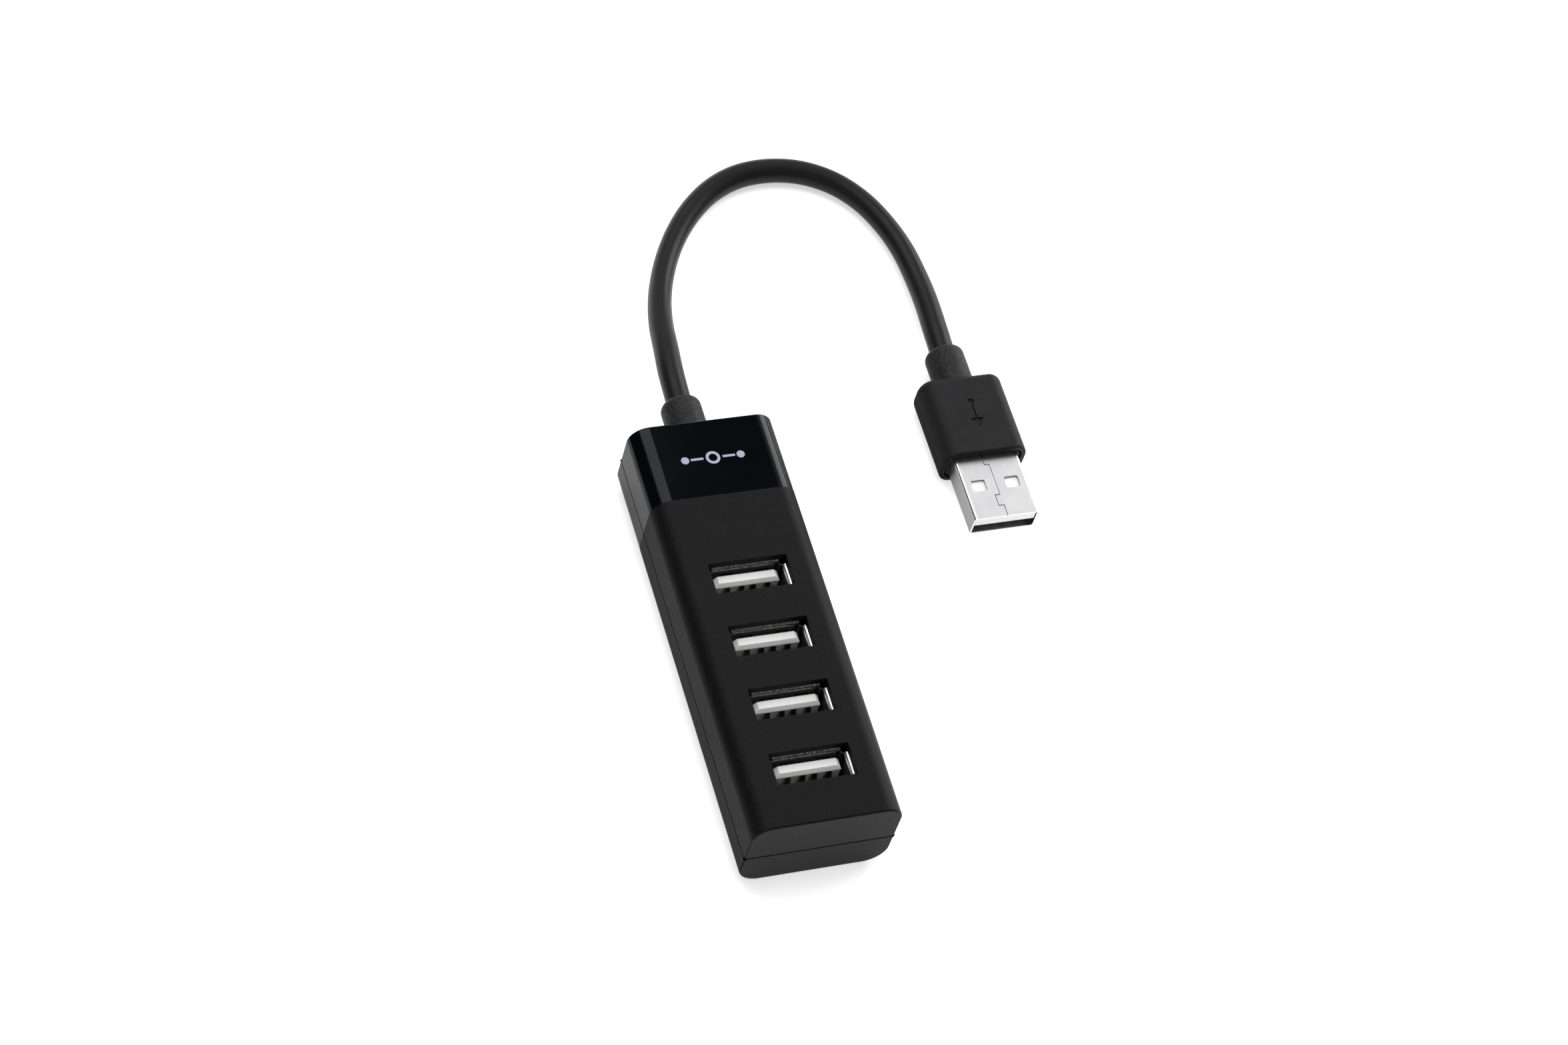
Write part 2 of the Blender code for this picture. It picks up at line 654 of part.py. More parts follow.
def plug_inner_mould(plug):
    """The inner moulding, which sits in the grip's pocket and holds the back of the shell."""
    width = OVERMOULD_SIZE[0] - 2 * POCKET_WALL - 2 * FIT_GAP
    height = OVERMOULD_SIZE[2] - 2 * POCKET_WALL - 2 * FIT_GAP
    start = OVERMOULD_FRONT + FIT_GAP
    end = OVERMOULD_FRONT + POCKET_DEPTH - FIT_GAP
    corner = POCKET_CORNER - FIT_GAP
    body = prism(rounded_outline(width / 2, -height / 2, height / 2, corner, corner), start, end, "Y")
    made = part("plug_inner_mould", mesh_from(body, "plug_inner_mould", 35), BLACK, 0.6, 0.0, plug)
    pocket = plug_pocket(
        "shell_pocket",
        PLUG_SHELL[0] + 2 * FINE_GAP,
        PLUG_SHELL[1] + 2 * FINE_GAP,
        PLUG_CORNER + FINE_GAP,
        start,
        PLUG_SHELL_LENGTH + FIT_GAP,
        plug,
    )
    combine(made, pocket, "DIFFERENCE")


# ---------------------------------------------------------------- the whole hub


def build():
    hub = empty("hub_origin", (0, 0, 0))
    neck_hole, flange_pocket = lead_openings(hub)
    top_shell(hub, neck_hole)
    bottom_shell(hub, neck_hole, flange_pocket)
    circuit_board(hub)
    hub_chip(hub)
    crystal(hub)
    for name, (x, y, radius) in CAPACITORS.items():
        capacitor(hub, name, x, y, radius)
    for number in range(SOCKETS):
        socket = empty(f"socket_{number + 1}", (0, socket_y(number), 0), hub)
        socket_shell(socket, number + 1)
        socket_tongue(socket, number + 1)
        socket_contacts(socket, number + 1)
    cord_boot(hub)
    wires(hub)
    cable("cord", smooth_route(CORD_ROUTE, CORD_STEP), CORD_DIAMETER, 3, RUBBER_BLACK, 0.45, hub)
    plug = empty("plug_origin", PLUG_PLACE, hub)
    plug_shell(plug)
    plug_insulator(plug)
    plug_overmould(plug)
    plug_inner_mould(plug)


start_clean()
parts = new_collection("usb_hub")
tools = new_collection("cutters")
build()
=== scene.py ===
# %% [markdown]
# # A small USB hub
#
# A slim black bar holds four sockets in a row. A short lead leaves its far end and
# carries an A plug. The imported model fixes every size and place, and this script gives
# each piece its real surface. We build from the outside in: the stage and the lead
# first, then the casing, the sockets, the plug, and at last what hides inside.

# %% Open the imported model
import math

import bmesh
import bpy
from mathutils import Matrix, Quaternion, Vector


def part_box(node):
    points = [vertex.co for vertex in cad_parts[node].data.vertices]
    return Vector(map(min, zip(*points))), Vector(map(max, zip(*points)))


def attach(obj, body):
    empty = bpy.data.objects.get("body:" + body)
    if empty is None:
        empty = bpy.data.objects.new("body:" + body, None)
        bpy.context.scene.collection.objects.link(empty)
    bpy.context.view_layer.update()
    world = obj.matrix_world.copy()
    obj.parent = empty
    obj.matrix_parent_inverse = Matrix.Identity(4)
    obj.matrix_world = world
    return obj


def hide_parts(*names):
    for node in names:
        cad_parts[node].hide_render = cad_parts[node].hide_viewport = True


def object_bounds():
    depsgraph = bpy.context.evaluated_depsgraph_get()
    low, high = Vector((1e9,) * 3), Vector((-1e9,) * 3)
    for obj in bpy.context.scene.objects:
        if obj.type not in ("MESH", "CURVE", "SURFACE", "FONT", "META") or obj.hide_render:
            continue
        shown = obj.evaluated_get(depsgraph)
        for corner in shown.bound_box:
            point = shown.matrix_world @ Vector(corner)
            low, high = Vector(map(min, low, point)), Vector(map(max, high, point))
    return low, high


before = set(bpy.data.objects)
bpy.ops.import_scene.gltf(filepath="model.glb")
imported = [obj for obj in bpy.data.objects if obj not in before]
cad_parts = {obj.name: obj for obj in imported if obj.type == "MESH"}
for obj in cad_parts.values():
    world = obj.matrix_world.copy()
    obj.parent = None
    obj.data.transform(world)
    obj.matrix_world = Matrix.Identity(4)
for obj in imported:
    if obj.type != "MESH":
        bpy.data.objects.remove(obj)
cad_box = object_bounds()
MM = 0.001
print("pieces in the packed model:", len(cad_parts))

# %% [markdown]
# ## A workbench of small helpers
#
# Blender's operators act on whatever is selected, so a script that models by hand
# needs one habit above all: select nothing, then select exactly what is meant. These
# helpers keep that habit. `pick` opens a piece in edit mode and selects its edges,
# faces or points by a rule about their place.


# %% Helpers for selecting and shaping
def alone(piece):
    """Leaves edit mode and makes this the only selected object."""
    if bpy.context.mode != "OBJECT":
        bpy.ops.object.mode_set(mode="OBJECT")
    bpy.ops.object.select_all(action="DESELECT")
    bpy.context.view_layer.objects.active = piece
    if piece is not None:
        piece.select_set(True)


def start(name, add, **settings):
    """Adds a primitive by itself, and applies its place, turn and size to its mesh."""
    alone(None)
    add(**settings)
    piece = bpy.context.active_object
    piece.name = name
    piece.data.name = name
    bpy.ops.object.transform_apply(location=True, rotation=True, scale=True)
    return piece


def block(name, low, high):
    """A box between two corners."""
    low, high = Vector(low), Vector(high)
    middle, size = (low + high) / 2, high - low
    return start(name, bpy.ops.mesh.primitive_cube_add, size=1, location=middle, scale=size)


def pick(piece, rule, kind="EDGE"):
    """Opens the piece in edit mode with only what the rule says yes to selected."""
    alone(piece)
    bpy.ops.object.mode_set(mode="EDIT")
    bpy.ops.mesh.select_mode(type=kind)
    bpy.ops.mesh.select_all(action="DESELECT")
    mesh = bmesh.from_edit_mesh(piece.data)
    mesh.normal_update()
    found = [p for p in {"VERT": mesh.verts, "EDGE": mesh.edges, "FACE": mesh.faces}[kind] if rule(p)]
    for part in found:
        part.select_set(True)
    mesh.select_flush_mode()
    bmesh.update_edit_mesh(piece.data)
    return len(found)


def extrude(x=0.0, y=0.0, z=0.0):
    """Draws the selection out, as the E key does."""
    bpy.ops.mesh.extrude_region_move(TRANSFORM_OT_translate={"value": (x, y, z)})


def widen(x, y, z, centre):
    """Scales the selection about a centre, as the S key does."""
    bpy.ops.transform.resize(value=(x, y, z), center_override=tuple(centre))


def round_off(piece, rule, radius, steps=4):
    """Rounds the edges that the rule picks."""
    if pick(piece, rule):
        bpy.ops.mesh.bevel(offset=radius, segments=steps, profile=0.5, affect="EDGES")


def apply(piece, kind, **settings):
    """Adds a modifier and applies it at once."""
    alone(piece)
    step = piece.modifiers.new(kind.lower(), kind)
    for name, value in settings.items():
        setattr(step, name, value)
    bpy.ops.object.modifier_apply(modifier=step.name)


def combine(piece, other, operation="DIFFERENCE"):
    """Cuts the other shape out of a piece, or joins it on, and throws the other away."""
    apply(piece, "BOOLEAN", operation=operation, object=other, solver="MANIFOLD")
    bpy.data.objects.remove(other, do_unlink=True)


def soften(piece, width=0.05 * MM, steps=2, angle=40):
    """Takes the sharpness off every hard edge."""
    limit = math.radians(angle)
    apply(piece, "BEVEL", width=width, segments=steps, limit_method="ANGLE", angle_limit=limit)


def shade(piece, angle=40):
    """Smooth shading over the curves, with flat faces left flat."""
    alone(piece)
    bpy.ops.object.shade_smooth_by_angle(angle=math.radians(angle))
    apply(piece, "WEIGHTED_NORMAL", weight=50, keep_sharp=True)


def near(a, b, tolerance=0.01 * MM):
    return abs(a - b) < tolerance


def runs_along(edge, axis):
    """Says whether an edge lies along X, Y or Z, which are 0, 1 and 2."""
    first, second = (v.co for v in edge.verts)
    return abs((second - first).normalized()[axis]) > 0.999


def copy_to(piece, name, shift):
    """A copy with a mesh of its own, moved in its mesh."""
    made = piece.copy()
    made.data = piece.data.copy()
    made.name = name
    made.data.name = name
    bpy.context.scene.collection.objects.link(made)
    made.data.transform(Matrix.Translation(shift))
    return made


# %% [markdown]
# ## Camera, table and light
#
# The hub is seen from above and from its near left corner, with a longish lens that
# keeps its sides almost parallel. Black plastic shows almost nothing of its own colour:
# what the eye reads is the light that it mirrors, so the lamps are placed for their
# reflections. A large soft lamp behind the hub draws the band along the left shoulder,
# a second one lights the right side, and a weak one in front opens the near end. A
# fill from above lifts the top and shows in no reflection. The sky fades from light
# behind the hub to dark in front of it. The pale table glows a little, as a light
# table does, so that it stays white around the hub.
#
# Cards that only reflections see do the rest, as a photographer's flags would. Black
# ones keep the polished end deep and dark, and two grey ones that lie on the table
# calm what the sides of the casing and the plug mirror.

# %% The camera
CAMERA_PLACE = Vector((-0.1895, -0.2973, 0.5292))
CAMERA_AIM = Vector((0.01157, 0.02216, 0.0080))
CAMERA_ROLL = math.radians(19.53)
LENS = 87.53
SENSOR = 36.0

lens = bpy.data.cameras.new("camera")
lens.lens = LENS
lens.sensor_width = SENSOR
lens.clip_start = 0.01
camera = bpy.data.objects.new("camera", lens)
bpy.context.scene.collection.objects.link(camera)
camera.location = CAMERA_PLACE
looking = (CAMERA_AIM - CAMERA_PLACE).normalized()
camera.rotation_mode = "QUATERNION"
camera.rotation_quaternion = looking.to_track_quat("-Z", "Y") @ Quaternion((0, 0, 1), CAMERA_ROLL)
bpy.context.scene.camera = camera
print("camera distance:", round((CAMERA_AIM - CAMERA_PLACE).length, 3), "m")

# %% The light
MIDDLE = (cad_box[0] + cad_box[1]) / 2
SCENE_VIEW = bpy.context.scene.view_settings
SCENE_VIEW.view_transform = "Standard"


def softbox(name, direction, distance, width, height, power):
    """A soft rectangular lamp at a distance from the hub, turned to face it."""
    lamp = bpy.data.lights.new(name, "AREA")
    lamp.shape = "RECTANGLE"
    lamp.size = width
    lamp.size_y = height
    lamp.energy = power
    made = bpy.data.objects.new(name, lamp)
    bpy.context.scene.collection.objects.link(made)
    towards = Vector(direction).normalized()
    made.location = MIDDLE + towards * distance
    made.rotation_mode = "QUATERNION"
    made.rotation_quaternion = towards.to_track_quat("Z", "Y")
    made.visible_camera = False
    return made


softbox("shoulder_light", (-0.19, 0.50, 0.85), 0.90, 0.72, 0.60, 3.0)
softbox("right_light", (0.86, 0.45, 0.42), 1.00, 0.60, 0.50, 5.0)
softbox("front_light", (-0.30, -0.90, 0.70), 1.10, 0.90, 0.60, 0.8)
fill = softbox("fill_light", (0.10, 0.10, 1.00), 1.00, 0.50, 0.50, 3.2)
fill.visible_glossy = False

world = bpy.data.worlds.new("studio")
bpy.context.scene.world = world
world.use_nodes = True
sky = world.node_tree.nodes["Background"]
sky.inputs["Color"].default_value = (1.0, 1.0, 1.0, 1.0)
towards = world.node_tree.nodes.new("ShaderNodeTexCoord")
parts = world.node_tree.nodes.new("ShaderNodeSeparateXYZ")
fade = world.node_tree.nodes.new("ShaderNodeMapRange")
for name, value in (("From Min", -0.9), ("From Max", 0.45), ("To Min", 0.12), ("To Max", 0.68)):
    fade.inputs[name].default_value = value
world.node_tree.links.new(towards.outputs["Generated"], parts.inputs["Vector"])
world.node_tree.links.new(parts.outputs["Y"], fade.inputs["Value"])
world.node_tree.links.new(fade.outputs["Result"], sky.inputs["Strength"])

# %% The cards
MIRROR_OF_TOP = Vector((looking.x, looking.y, -looking.z))
POLISHED_END = Vector((0, 0.031, 0.0167))


def card(name, tone, place, facing, width, height):
    """A card of one dull tone that only reflections see."""
    dull = bpy.data.materials.new(name)
    dull.use_nodes = True
    flock = dull.node_tree.nodes["Principled BSDF"]
    flock.inputs["Base Color"].default_value = (tone, tone, tone, 1.0)
    flock.inputs["Specular IOR Level"].default_value = 0.0
    made = start(
        name,
        bpy.ops.mesh.primitive_cube_add,
        size=1,
        scale=(width, height, MM),
        location=place,
        rotation=Vector(facing).to_track_quat("Z", "Y").to_euler(),
    )
    made.data.materials.append(dull)
    made.visible_camera = False
    made.visible_diffuse = False
    made.visible_shadow = False
    made.visible_transmission = False


card("top_card", 0.0, POLISHED_END + MIRROR_OF_TOP * 0.45, MIRROR_OF_TOP, 0.075, 0.09)
card("left_card", 0.0, (-0.33, 0.22, 0.15), (-0.83, 0.55, 0.0), 0.50, 0.30)
card("floor_card", 0.0, (-0.19, 0.14, 0.001), (0, 0, 1), 0.30, 0.40)
card("side_card", 0.85, (-0.0266, 0.008, 0.0004), (0, 0, 1), 0.0268, 0.105)
card("plug_card", 0.45, (0.0318, 0.035, 0.0004), (0, 0, 1), 0.0276, 0.06)

# %% The table
FLOOR_HALF = 1.5
FLOOR_DROP = 0.02 * MM
TABLE_GLOW = 0.52
floor = start("table", bpy.ops.mesh.primitive_plane_add, size=2 * FLOOR_HALF, location=(0, 0, -FLOOR_DROP))

# %% [markdown]
# ## How the finishes are made
#
# Every finish is a Principled shader with procedural detail. Three effects come up
# again and again, so each is a node group, built once: the fine texture that a spark
# eroded mould leaves on plastic, the streaks of rolled or brushed metal, and the faint
# cloudy marks that handling leaves. The patterns read Object coordinates. A piece's
# place is in its mesh, so those are real metres, and a grain of 0.12 mm is a noise
# scale of about 8000.


# %% Helpers for shader nodes
def node(tree, kind, settings=None, **inputs):
    """Adds a shader node. An input is given a value, or the output that feeds it."""
    made = tree.nodes.new("ShaderNode" + kind)
    for name, value in (settings or {}).items():
        setattr(made, name, value)
    for name, value in inputs.items():
        plug_in(tree, made, name.replace("_", " "), value)
    return made


def plug_in(tree, made, name, value):
    socket = made.inputs[int(name)] if name.isdigit() else made.inputs[name]
    if isinstance(value, bpy.types.NodeSocket):
        tree.links.new(value, socket)
    else:
        socket.default_value = value


def maths(tree, operation, first, second=0.0):
    """A Math node's result."""
    made = node(tree, "Math", {"operation": operation})
    plug_in(tree, made, "0", first)
    plug_in(tree, made, "1", second)
    return made.outputs["Value"]


def blend_colours(tree, share, first, second):
    """A colour between two, by a share from 0 to 1."""
    made = node(tree, "Mix", {"data_type": "RGBA"})
    for socket, value in ((made.inputs[0], share), (made.inputs[6], first), (made.inputs[7], second)):
        if isinstance(value, bpy.types.NodeSocket):
            tree.links.new(value, socket)
        else:
            socket.default_value = value
    return made.outputs[2]


def between(tree, share, low, high):
    """A number between two, by a share from 0 to 1."""
    made = node(tree, "MapRange", To_Min=low, To_Max=high)
    plug_in(tree, made, "Value", share)
    return made.outputs["Result"]


def place_of(tree):
    """Object coordinates, in metres."""
    return node(tree, "TexCoord").outputs["Object"]


def new_group(name, numbers, results):
    """An empty node group with number inputs and outputs."""
    tree = bpy.data.node_groups.new(name, "ShaderNodeTree")
    for label, value in numbers.items():
        socket = tree.interface.new_socket(name=label, in_out="INPUT", socket_type="NodeSocketFloat")
        socket.default_value = value
    for label in results:
        tree.interface.new_socket(name=label, in_out="OUTPUT", socket_type="NodeSocketFloat")
    return tree, tree.nodes.new("NodeGroupInput").outputs, tree.nodes.new("NodeGroupOutput")


def grey(value):
    return (value, value, value, 1.0)


# %% Group: moulded texture
def moulded_texture():
    """Height of a fine pebbled skin, and a slow variation from patch to patch."""
    inputs = {"Scale": 8000.0, "Roundness": 0.5}
    tree, given, result = new_group("moulded texture", inputs, ("Height", "Patches"))
    place = place_of(tree)
    fine = node(tree, "TexNoise", Vector=place, Scale=given["Scale"], Detail=2.0, Roughness=0.6)
    pebble = node(tree, "TexVoronoi", {"feature": "SMOOTH_F1"}, Vector=place, Scale=given["Scale"])
    pebbles = maths(tree, "MULTIPLY", pebble.outputs["Distance"], given["Roundness"])
    height = maths(tree, "SUBTRACT", fine.outputs["Fac"], pebbles)
    slow = node(tree, "TexNoise", Vector=place, Scale=220.0, Detail=3.0, Roughness=0.55)
    tree.links.new(height, result.inputs["Height"])
    tree.links.new(slow.outputs["Fac"], result.inputs["Patches"])
    return tree


MOULDED = moulded_texture()


# %% Group: brushed streaks
def brushed_streaks():
    """Streaks that run along Y, from 0 to 1."""
    inputs = {"Width": 9000.0, "Length": 350.0}
    tree, given, result = new_group("brushed streaks", inputs, ("Streaks", "Clouds"))
    place = place_of(tree)
    stretch = node(tree, "CombineXYZ", X=given["Width"], Y=given["Length"], Z=given["Width"])
    longer = node(tree, "VectorMath", {"operation": "MULTIPLY"})
    tree.links.new(place, longer.inputs[0])
    tree.links.new(stretch.outputs["Vector"], longer.inputs[1])
    lines = node(tree, "TexNoise", Vector=longer.outputs["Vector"], Scale=1.0, Detail=3.0, Roughness=0.6)
    clouds = node(tree, "TexNoise", Vector=place, Scale=420.0, Detail=2.0)
    tree.links.new(lines.outputs["Fac"], result.inputs["Streaks"])
    tree.links.new(clouds.outputs["Fac"], result.inputs["Clouds"])
    return tree


BRUSHED = brushed_streaks()


# %% Group: handling marks
def handling_marks():
    """Soft cloudy smudges, and a few fine dust specks, each from 0 to 1."""
    inputs = {"Smudge Scale": 90.0, "Speck Scale": 1500.0}
    tree, given, result = new_group("handling marks", inputs, ("Smudges", "Specks"))
    place = place_of(tree)
    cloud = node(tree, "TexNoise", Vector=place, Scale=given["Smudge Scale"], Detail=4.0, Distortion=0.6)
    dots = node(tree, "TexVoronoi", Vector=place, Scale=given["Speck Scale"])
    specks = maths(tree, "LESS_THAN", dots.outputs["Distance"], 0.07)
    tree.links.new(cloud.outputs["Fac"], result.inputs["Smudges"])
    tree.links.new(specks, result.inputs["Specks"])
    return tree


HANDLED = handling_marks()


# %% A material with its shader
def finish_named(name, **settings):
    """A material, its node tree and its Principled shader."""
    made = bpy.data.materials.new(name)
    made.use_nodes = True
    tree = made.node_tree
    shader = tree.nodes["Principled BSDF"]
    for label, value in settings.items():
        shader.inputs[label.replace("_", " ")].default_value = value
    return made, tree, shader


def group(tree, effect, **inputs):
    """Places one of the shared effects."""
    made = node(tree, "Group", {"node_tree": effect})
    for name, value in inputs.items():
        plug_in(tree, made, name.replace("_", " "), value)
    return made.outputs


def raise_surface(tree, shader, height, depth, strength=1.0):
    """Feeds a height into the shader's normal, as a bump so many metres deep."""
    bump = node(tree, "Bump", Height=height, Distance=depth, Strength=strength)
    tree.links.new(bump.outputs["Normal"], shader.inputs["Normal"])


# %% [markdown]
# ## The table's finish
#
# A seamless paper sweep: nearly white, with no gloss and only a breath of mottling.

# %% Finish of the table
paper, tree, shader = finish_named("paper", Roughness=0.95, Specular_IOR_Level=0.1)
clouds = node(tree, "TexNoise", Vector=place_of(tree), Scale=3.0, Detail=2.0)
tint = blend_colours(tree, clouds.outputs["Fac"], grey(0.88), grey(0.90))
tree.links.new(tint, shader.inputs["Base Color"])
shader.inputs["Emission Color"].default_value = (1.0, 1.0, 1.0, 1.0)
shader.inputs["Emission Strength"].default_value = TABLE_GLOW
floor.data.materials.append(paper)

# %% [markdown]
# ## The lead
#
# The lead is 4.3 mm of soft PVC with four wires inside, and it is short: about 124 mm
# from one strain relief to the other. It comes straight out of the casing, sinks to
# the table within a few diameters, lies round in one loose arch and climbs into the
# plug. A Bezier curve through a list of points gives it an even, springy bend. The
# points weren't chosen by hand: they are a fitted smoothing spline's, at equal steps.
# Each point's handles follow its two neighbours, which is what keeps the line smooth.
# A real jacket is never perfectly round where it bends, so its thickness breathes a
# little along the way.

# %% The lead's route
CORD_DIAMETER = 0.0043
CORD_ROUTE = (
    (0.0000, 0.0487, 0.00835),
    (0.0004, 0.0548, 0.0081),
    (0.0013, 0.0609, 0.0070),
    (0.0023, 0.0667, 0.0055),
    (0.0038, 0.0725, 0.0041),
    (0.0059, 0.0782, 0.0030),
    (0.0086, 0.0838, 0.0024),
    (0.0120, 0.0891, 0.0022),
    (0.0161, 0.0938, 0.0022),
    (0.0209, 0.0976, 0.0022),
    (0.0264, 0.1000, 0.0022),
    (0.0325, 0.1006, 0.0022),
    (0.0385, 0.0994, 0.0022),
    (0.0438, 0.0963, 0.0022),
    (0.0478, 0.0917, 0.0022),
    (0.0505, 0.0861, 0.0022),
    (0.0521, 0.0801, 0.0023),
    (0.0527, 0.0739, 0.0025),
    (0.0527, 0.0677, 0.0030),
    (0.0522, 0.0615, 0.0037),
    (0.0517, 0.0555, 0.00415),
)
TUCKED_IN = 1.2 * MM

# %% Lay the lead
alone(None)
bpy.ops.curve.primitive_bezier_curve_add()
cord = bpy.context.active_object
cord.name = cord.data.name = "lead"
cord.location = (0, 0, 0)
line = cord.data.splines[0]
route = [Vector(p) for p in CORD_ROUTE]
route[0].y -= TUCKED_IN
route[-1].y -= TUCKED_IN
line.bezier_points.add(len(route) - len(line.bezier_points))
for index, (point, place) in enumerate(zip(line.bezier_points, route)):
    before, after = route[max(index - 1, 0)], route[min(index + 1, len(route) - 1)]
    point.handle_left_type = point.handle_right_type = "FREE"
    point.co = place
    point.handle_left = place - (after - before) / 6
    point.handle_right = place + (after - before) / 6
    point.radius = 1.0 + 0.045 * math.sin(2 * math.pi * (index + 1) / 9)
cord.data.resolution_u = 10
cord.data.bevel_depth = CORD_DIAMETER / 2
cord.data.bevel_resolution = 10
cord.data.use_fill_caps = True
print("lead:", len(route), "points")

# %% Finish of the lead
jacket, tree, shader = finish_named("cord_jacket", Specular_IOR_Level=0.16)
skin = group(tree, MOULDED, Scale=5200.0, Roundness=0.2)
marks = group(tree, HANDLED, Smudge_Scale=160.0)
tint = blend_colours(tree, skin["Patches"], (0.0055, 0.0055, 0.006, 1), (0.010, 0.010, 0.0105, 1))
tree.links.new(tint, shader.inputs["Base Color"])
tree.links.new(between(tree, marks["Smudges"], 0.30, 0.44), shader.inputs["Roughness"])
raise_surface(tree, shader, skin["Height"], 0.004 * MM)
cord.data.materials.append(jacket)


# %% [markdown]
# ## Settling a piece
#
# A finished piece gets its material, rides on the hub's one body, and stands in for the
# plain solid that held its place until now.


# %% Helper that settles a piece
def settle(piece, material, slot, *nodes):
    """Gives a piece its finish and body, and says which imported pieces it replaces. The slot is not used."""
    alone(None)
    piece.data.materials.clear()
    piece.data.materials.append(material)
    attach(piece, "root")
    if nodes:
        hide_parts(*nodes)
    size = size_mm(piece)
    print(f"{piece.name}: {len(piece.data.polygons)} faces, {size[0]:.1f} x {size[1]:.1f} x {size[2]:.1f} mm")


def size_mm(piece):
    """A piece's size in millimetres."""
    return tuple(side / MM for side in piece.dimensions)


# %% [markdown]
# ## The casing
#
# Two shells meet on a thin line all round. Both are the same bar, cut at that line:
# a box whose long edges are rounded, more at the bottom than at the top. Solidify
# gives a shell its 1.2 mm wall before the small end edges are rounded, because a tight
# outer radius has no inner one to match. The lower shell carries a lip that stands up
# inside the upper one, so that no light shows through the joint.

# %% Sizes of the casing
BASE_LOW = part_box("bottom_shell")[0]
TOP_LOW, TOP_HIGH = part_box("top_shell")
HALF_WIDTH = TOP_HIGH.x
HALF_LENGTH = TOP_HIGH.y
HEIGHT = TOP_HIGH.z
PARTING_GAP = 0.2 * MM
RIM = TOP_LOW.z - PARTING_GAP
TOP_RADIUS = 3.5 * MM
BASE_RADIUS = 4.0 * MM
WALL = 1.2 * MM
END_EDGE = 0.35 * MM
RIM_EDGE = 0.12 * MM
LEAD_Z = HEIGHT / 2
NECK_HOLE = 3.0 * MM
print("parting line:", round(TOP_LOW.z / MM, 2), "mm up")


# %% The two halves
def casing_half(name, height, upper):
    """One shell of the casing: the part of the bar above or below a height."""
    shell = block(name, BASE_LOW, TOP_HIGH)
    round_off(shell, lambda e: runs_along(e, 1) and e.verts[0].co.z > HEIGHT / 2, TOP_RADIUS, 16)
    round_off(shell, lambda e: runs_along(e, 1) and e.verts[0].co.z < HEIGHT / 4, BASE_RADIUS, 16)
    pick(shell, lambda f: True, "FACE")
    bpy.ops.mesh.bisect(plane_co=(0, 0, height), plane_no=(0, 0, 1), clear_inner=upper, clear_outer=not upper)
    apply(shell, "SOLIDIFY", thickness=WALL, offset=-1, use_even_offset=True)

    def on_end_outline(edge):
        first, second = (v.co for v in edge.verts)
        return near(abs(first.y), HALF_LENGTH) and near(first.y, second.y) and not on_rim(edge)

    def on_rim(edge):
        return all(near(v.co.z, height) for v in edge.verts)

    def outside(vert):
        return abs(vert.co.x) > HALF_WIDTH - WALL / 2 or abs(vert.co.y) > HALF_LENGTH - WALL / 2

    round_off(shell, on_end_outline, END_EDGE, 4)
    round_off(shell, lambda e: on_rim(e) and all(outside(v) for v in e.verts), RIM_EDGE, 2)
    hole = start(
        "neck_hole",
        bpy.ops.mesh.primitive_cylinder_add,
        vertices=48,
        radius=NECK_HOLE,
        depth=4 * WALL,
        location=(0, HALF_LENGTH, LEAD_Z),
        rotation=(math.pi / 2, 0, 0),
    )
    combine(shell, hole)
    return shell


casing_top = casing_half("casing_top", TOP_LOW.z, upper=True)
casing_bottom = casing_half("casing_bottom", RIM, upper=False)

# %% Four slots in the top
SOCKETS = (1, 2, 3, 4)
SLOT_HALF = Vector((6.75, 2.875)) * MM
SLOT_EDGE = 0.08 * MM


def socket_middle(number):
    """How far along the hub a socket stands."""
    low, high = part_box(f"socket_shell_{number}")
    return (low.y + high.y) / 2


for number in SOCKETS:
    y = socket_middle(number)
    low = (-SLOT_HALF.x, y - SLOT_HALF.y, HEIGHT - 2 * WALL)
    combine(casing_top, block("slot", low, (SLOT_HALF.x, y + SLOT_HALF.y, HEIGHT + WALL)))


def on_slot(edge):
    """Edges of the slots on the casing's top face."""
    if not all(near(v.co.z, HEIGHT) and abs(v.co.x) < SLOT_HALF.x + SLOT_EDGE for v in edge.verts):
        return False
    return any(abs(f.normal.z) < 0.1 for f in edge.link_faces)


round_off(casing_top, on_slot, SLOT_EDGE, 2)

# %% The lip of the lower shell
LIP_LOW, LIP_SHOULDER, LIP_TOP = RIM - 1.6 * MM, RIM - 0.15 * MM, RIM + 1.1 * MM
LIP_OUTER, LIP_INNER, LIP_GAP = 1.0 * MM, 2.1 * MM, 0.35 * MM

lip = block(
    "lip",
    (LIP_OUTER - HALF_WIDTH, LIP_OUTER - HALF_LENGTH, LIP_LOW),
    (HALF_WIDTH - LIP_OUTER, HALF_LENGTH - LIP_OUTER, LIP_SHOULDER),
)
pick(lip, lambda f: abs(f.normal.z) > 0.9, "FACE")
bpy.ops.mesh.delete(type="ONLY_FACE")
apply(lip, "SOLIDIFY", thickness=LIP_INNER - LIP_OUTER, offset=-1, use_even_offset=True)
pick(lip, lambda f: f.normal.z > 0.9, "FACE")
bpy.ops.mesh.inset(thickness=LIP_GAP, use_even_offset=True)
extrude(z=LIP_TOP - LIP_SHOULDER)
hole = start(
    "neck_hole",
    bpy.ops.mesh.primitive_cylinder_add,
    radius=NECK_HOLE,
    depth=8 * WALL,
    location=(0, HALF_LENGTH, LEAD_Z),
    rotation=(math.pi / 2, 0, 0),
)
combine(lip, hole)
combine(casing_bottom, lip, "UNION")

# %% [markdown]
# ## Finish of the casing
#
# Most of the casing has a fine matte skin. The end that the lead leaves is polished in
# the mould, and the border runs straight across both shells. It isn't a separate
# plate, so it is a second finish on the same piece: a cut across the mesh marks the
# border, and the faces beyond it take the polished black.

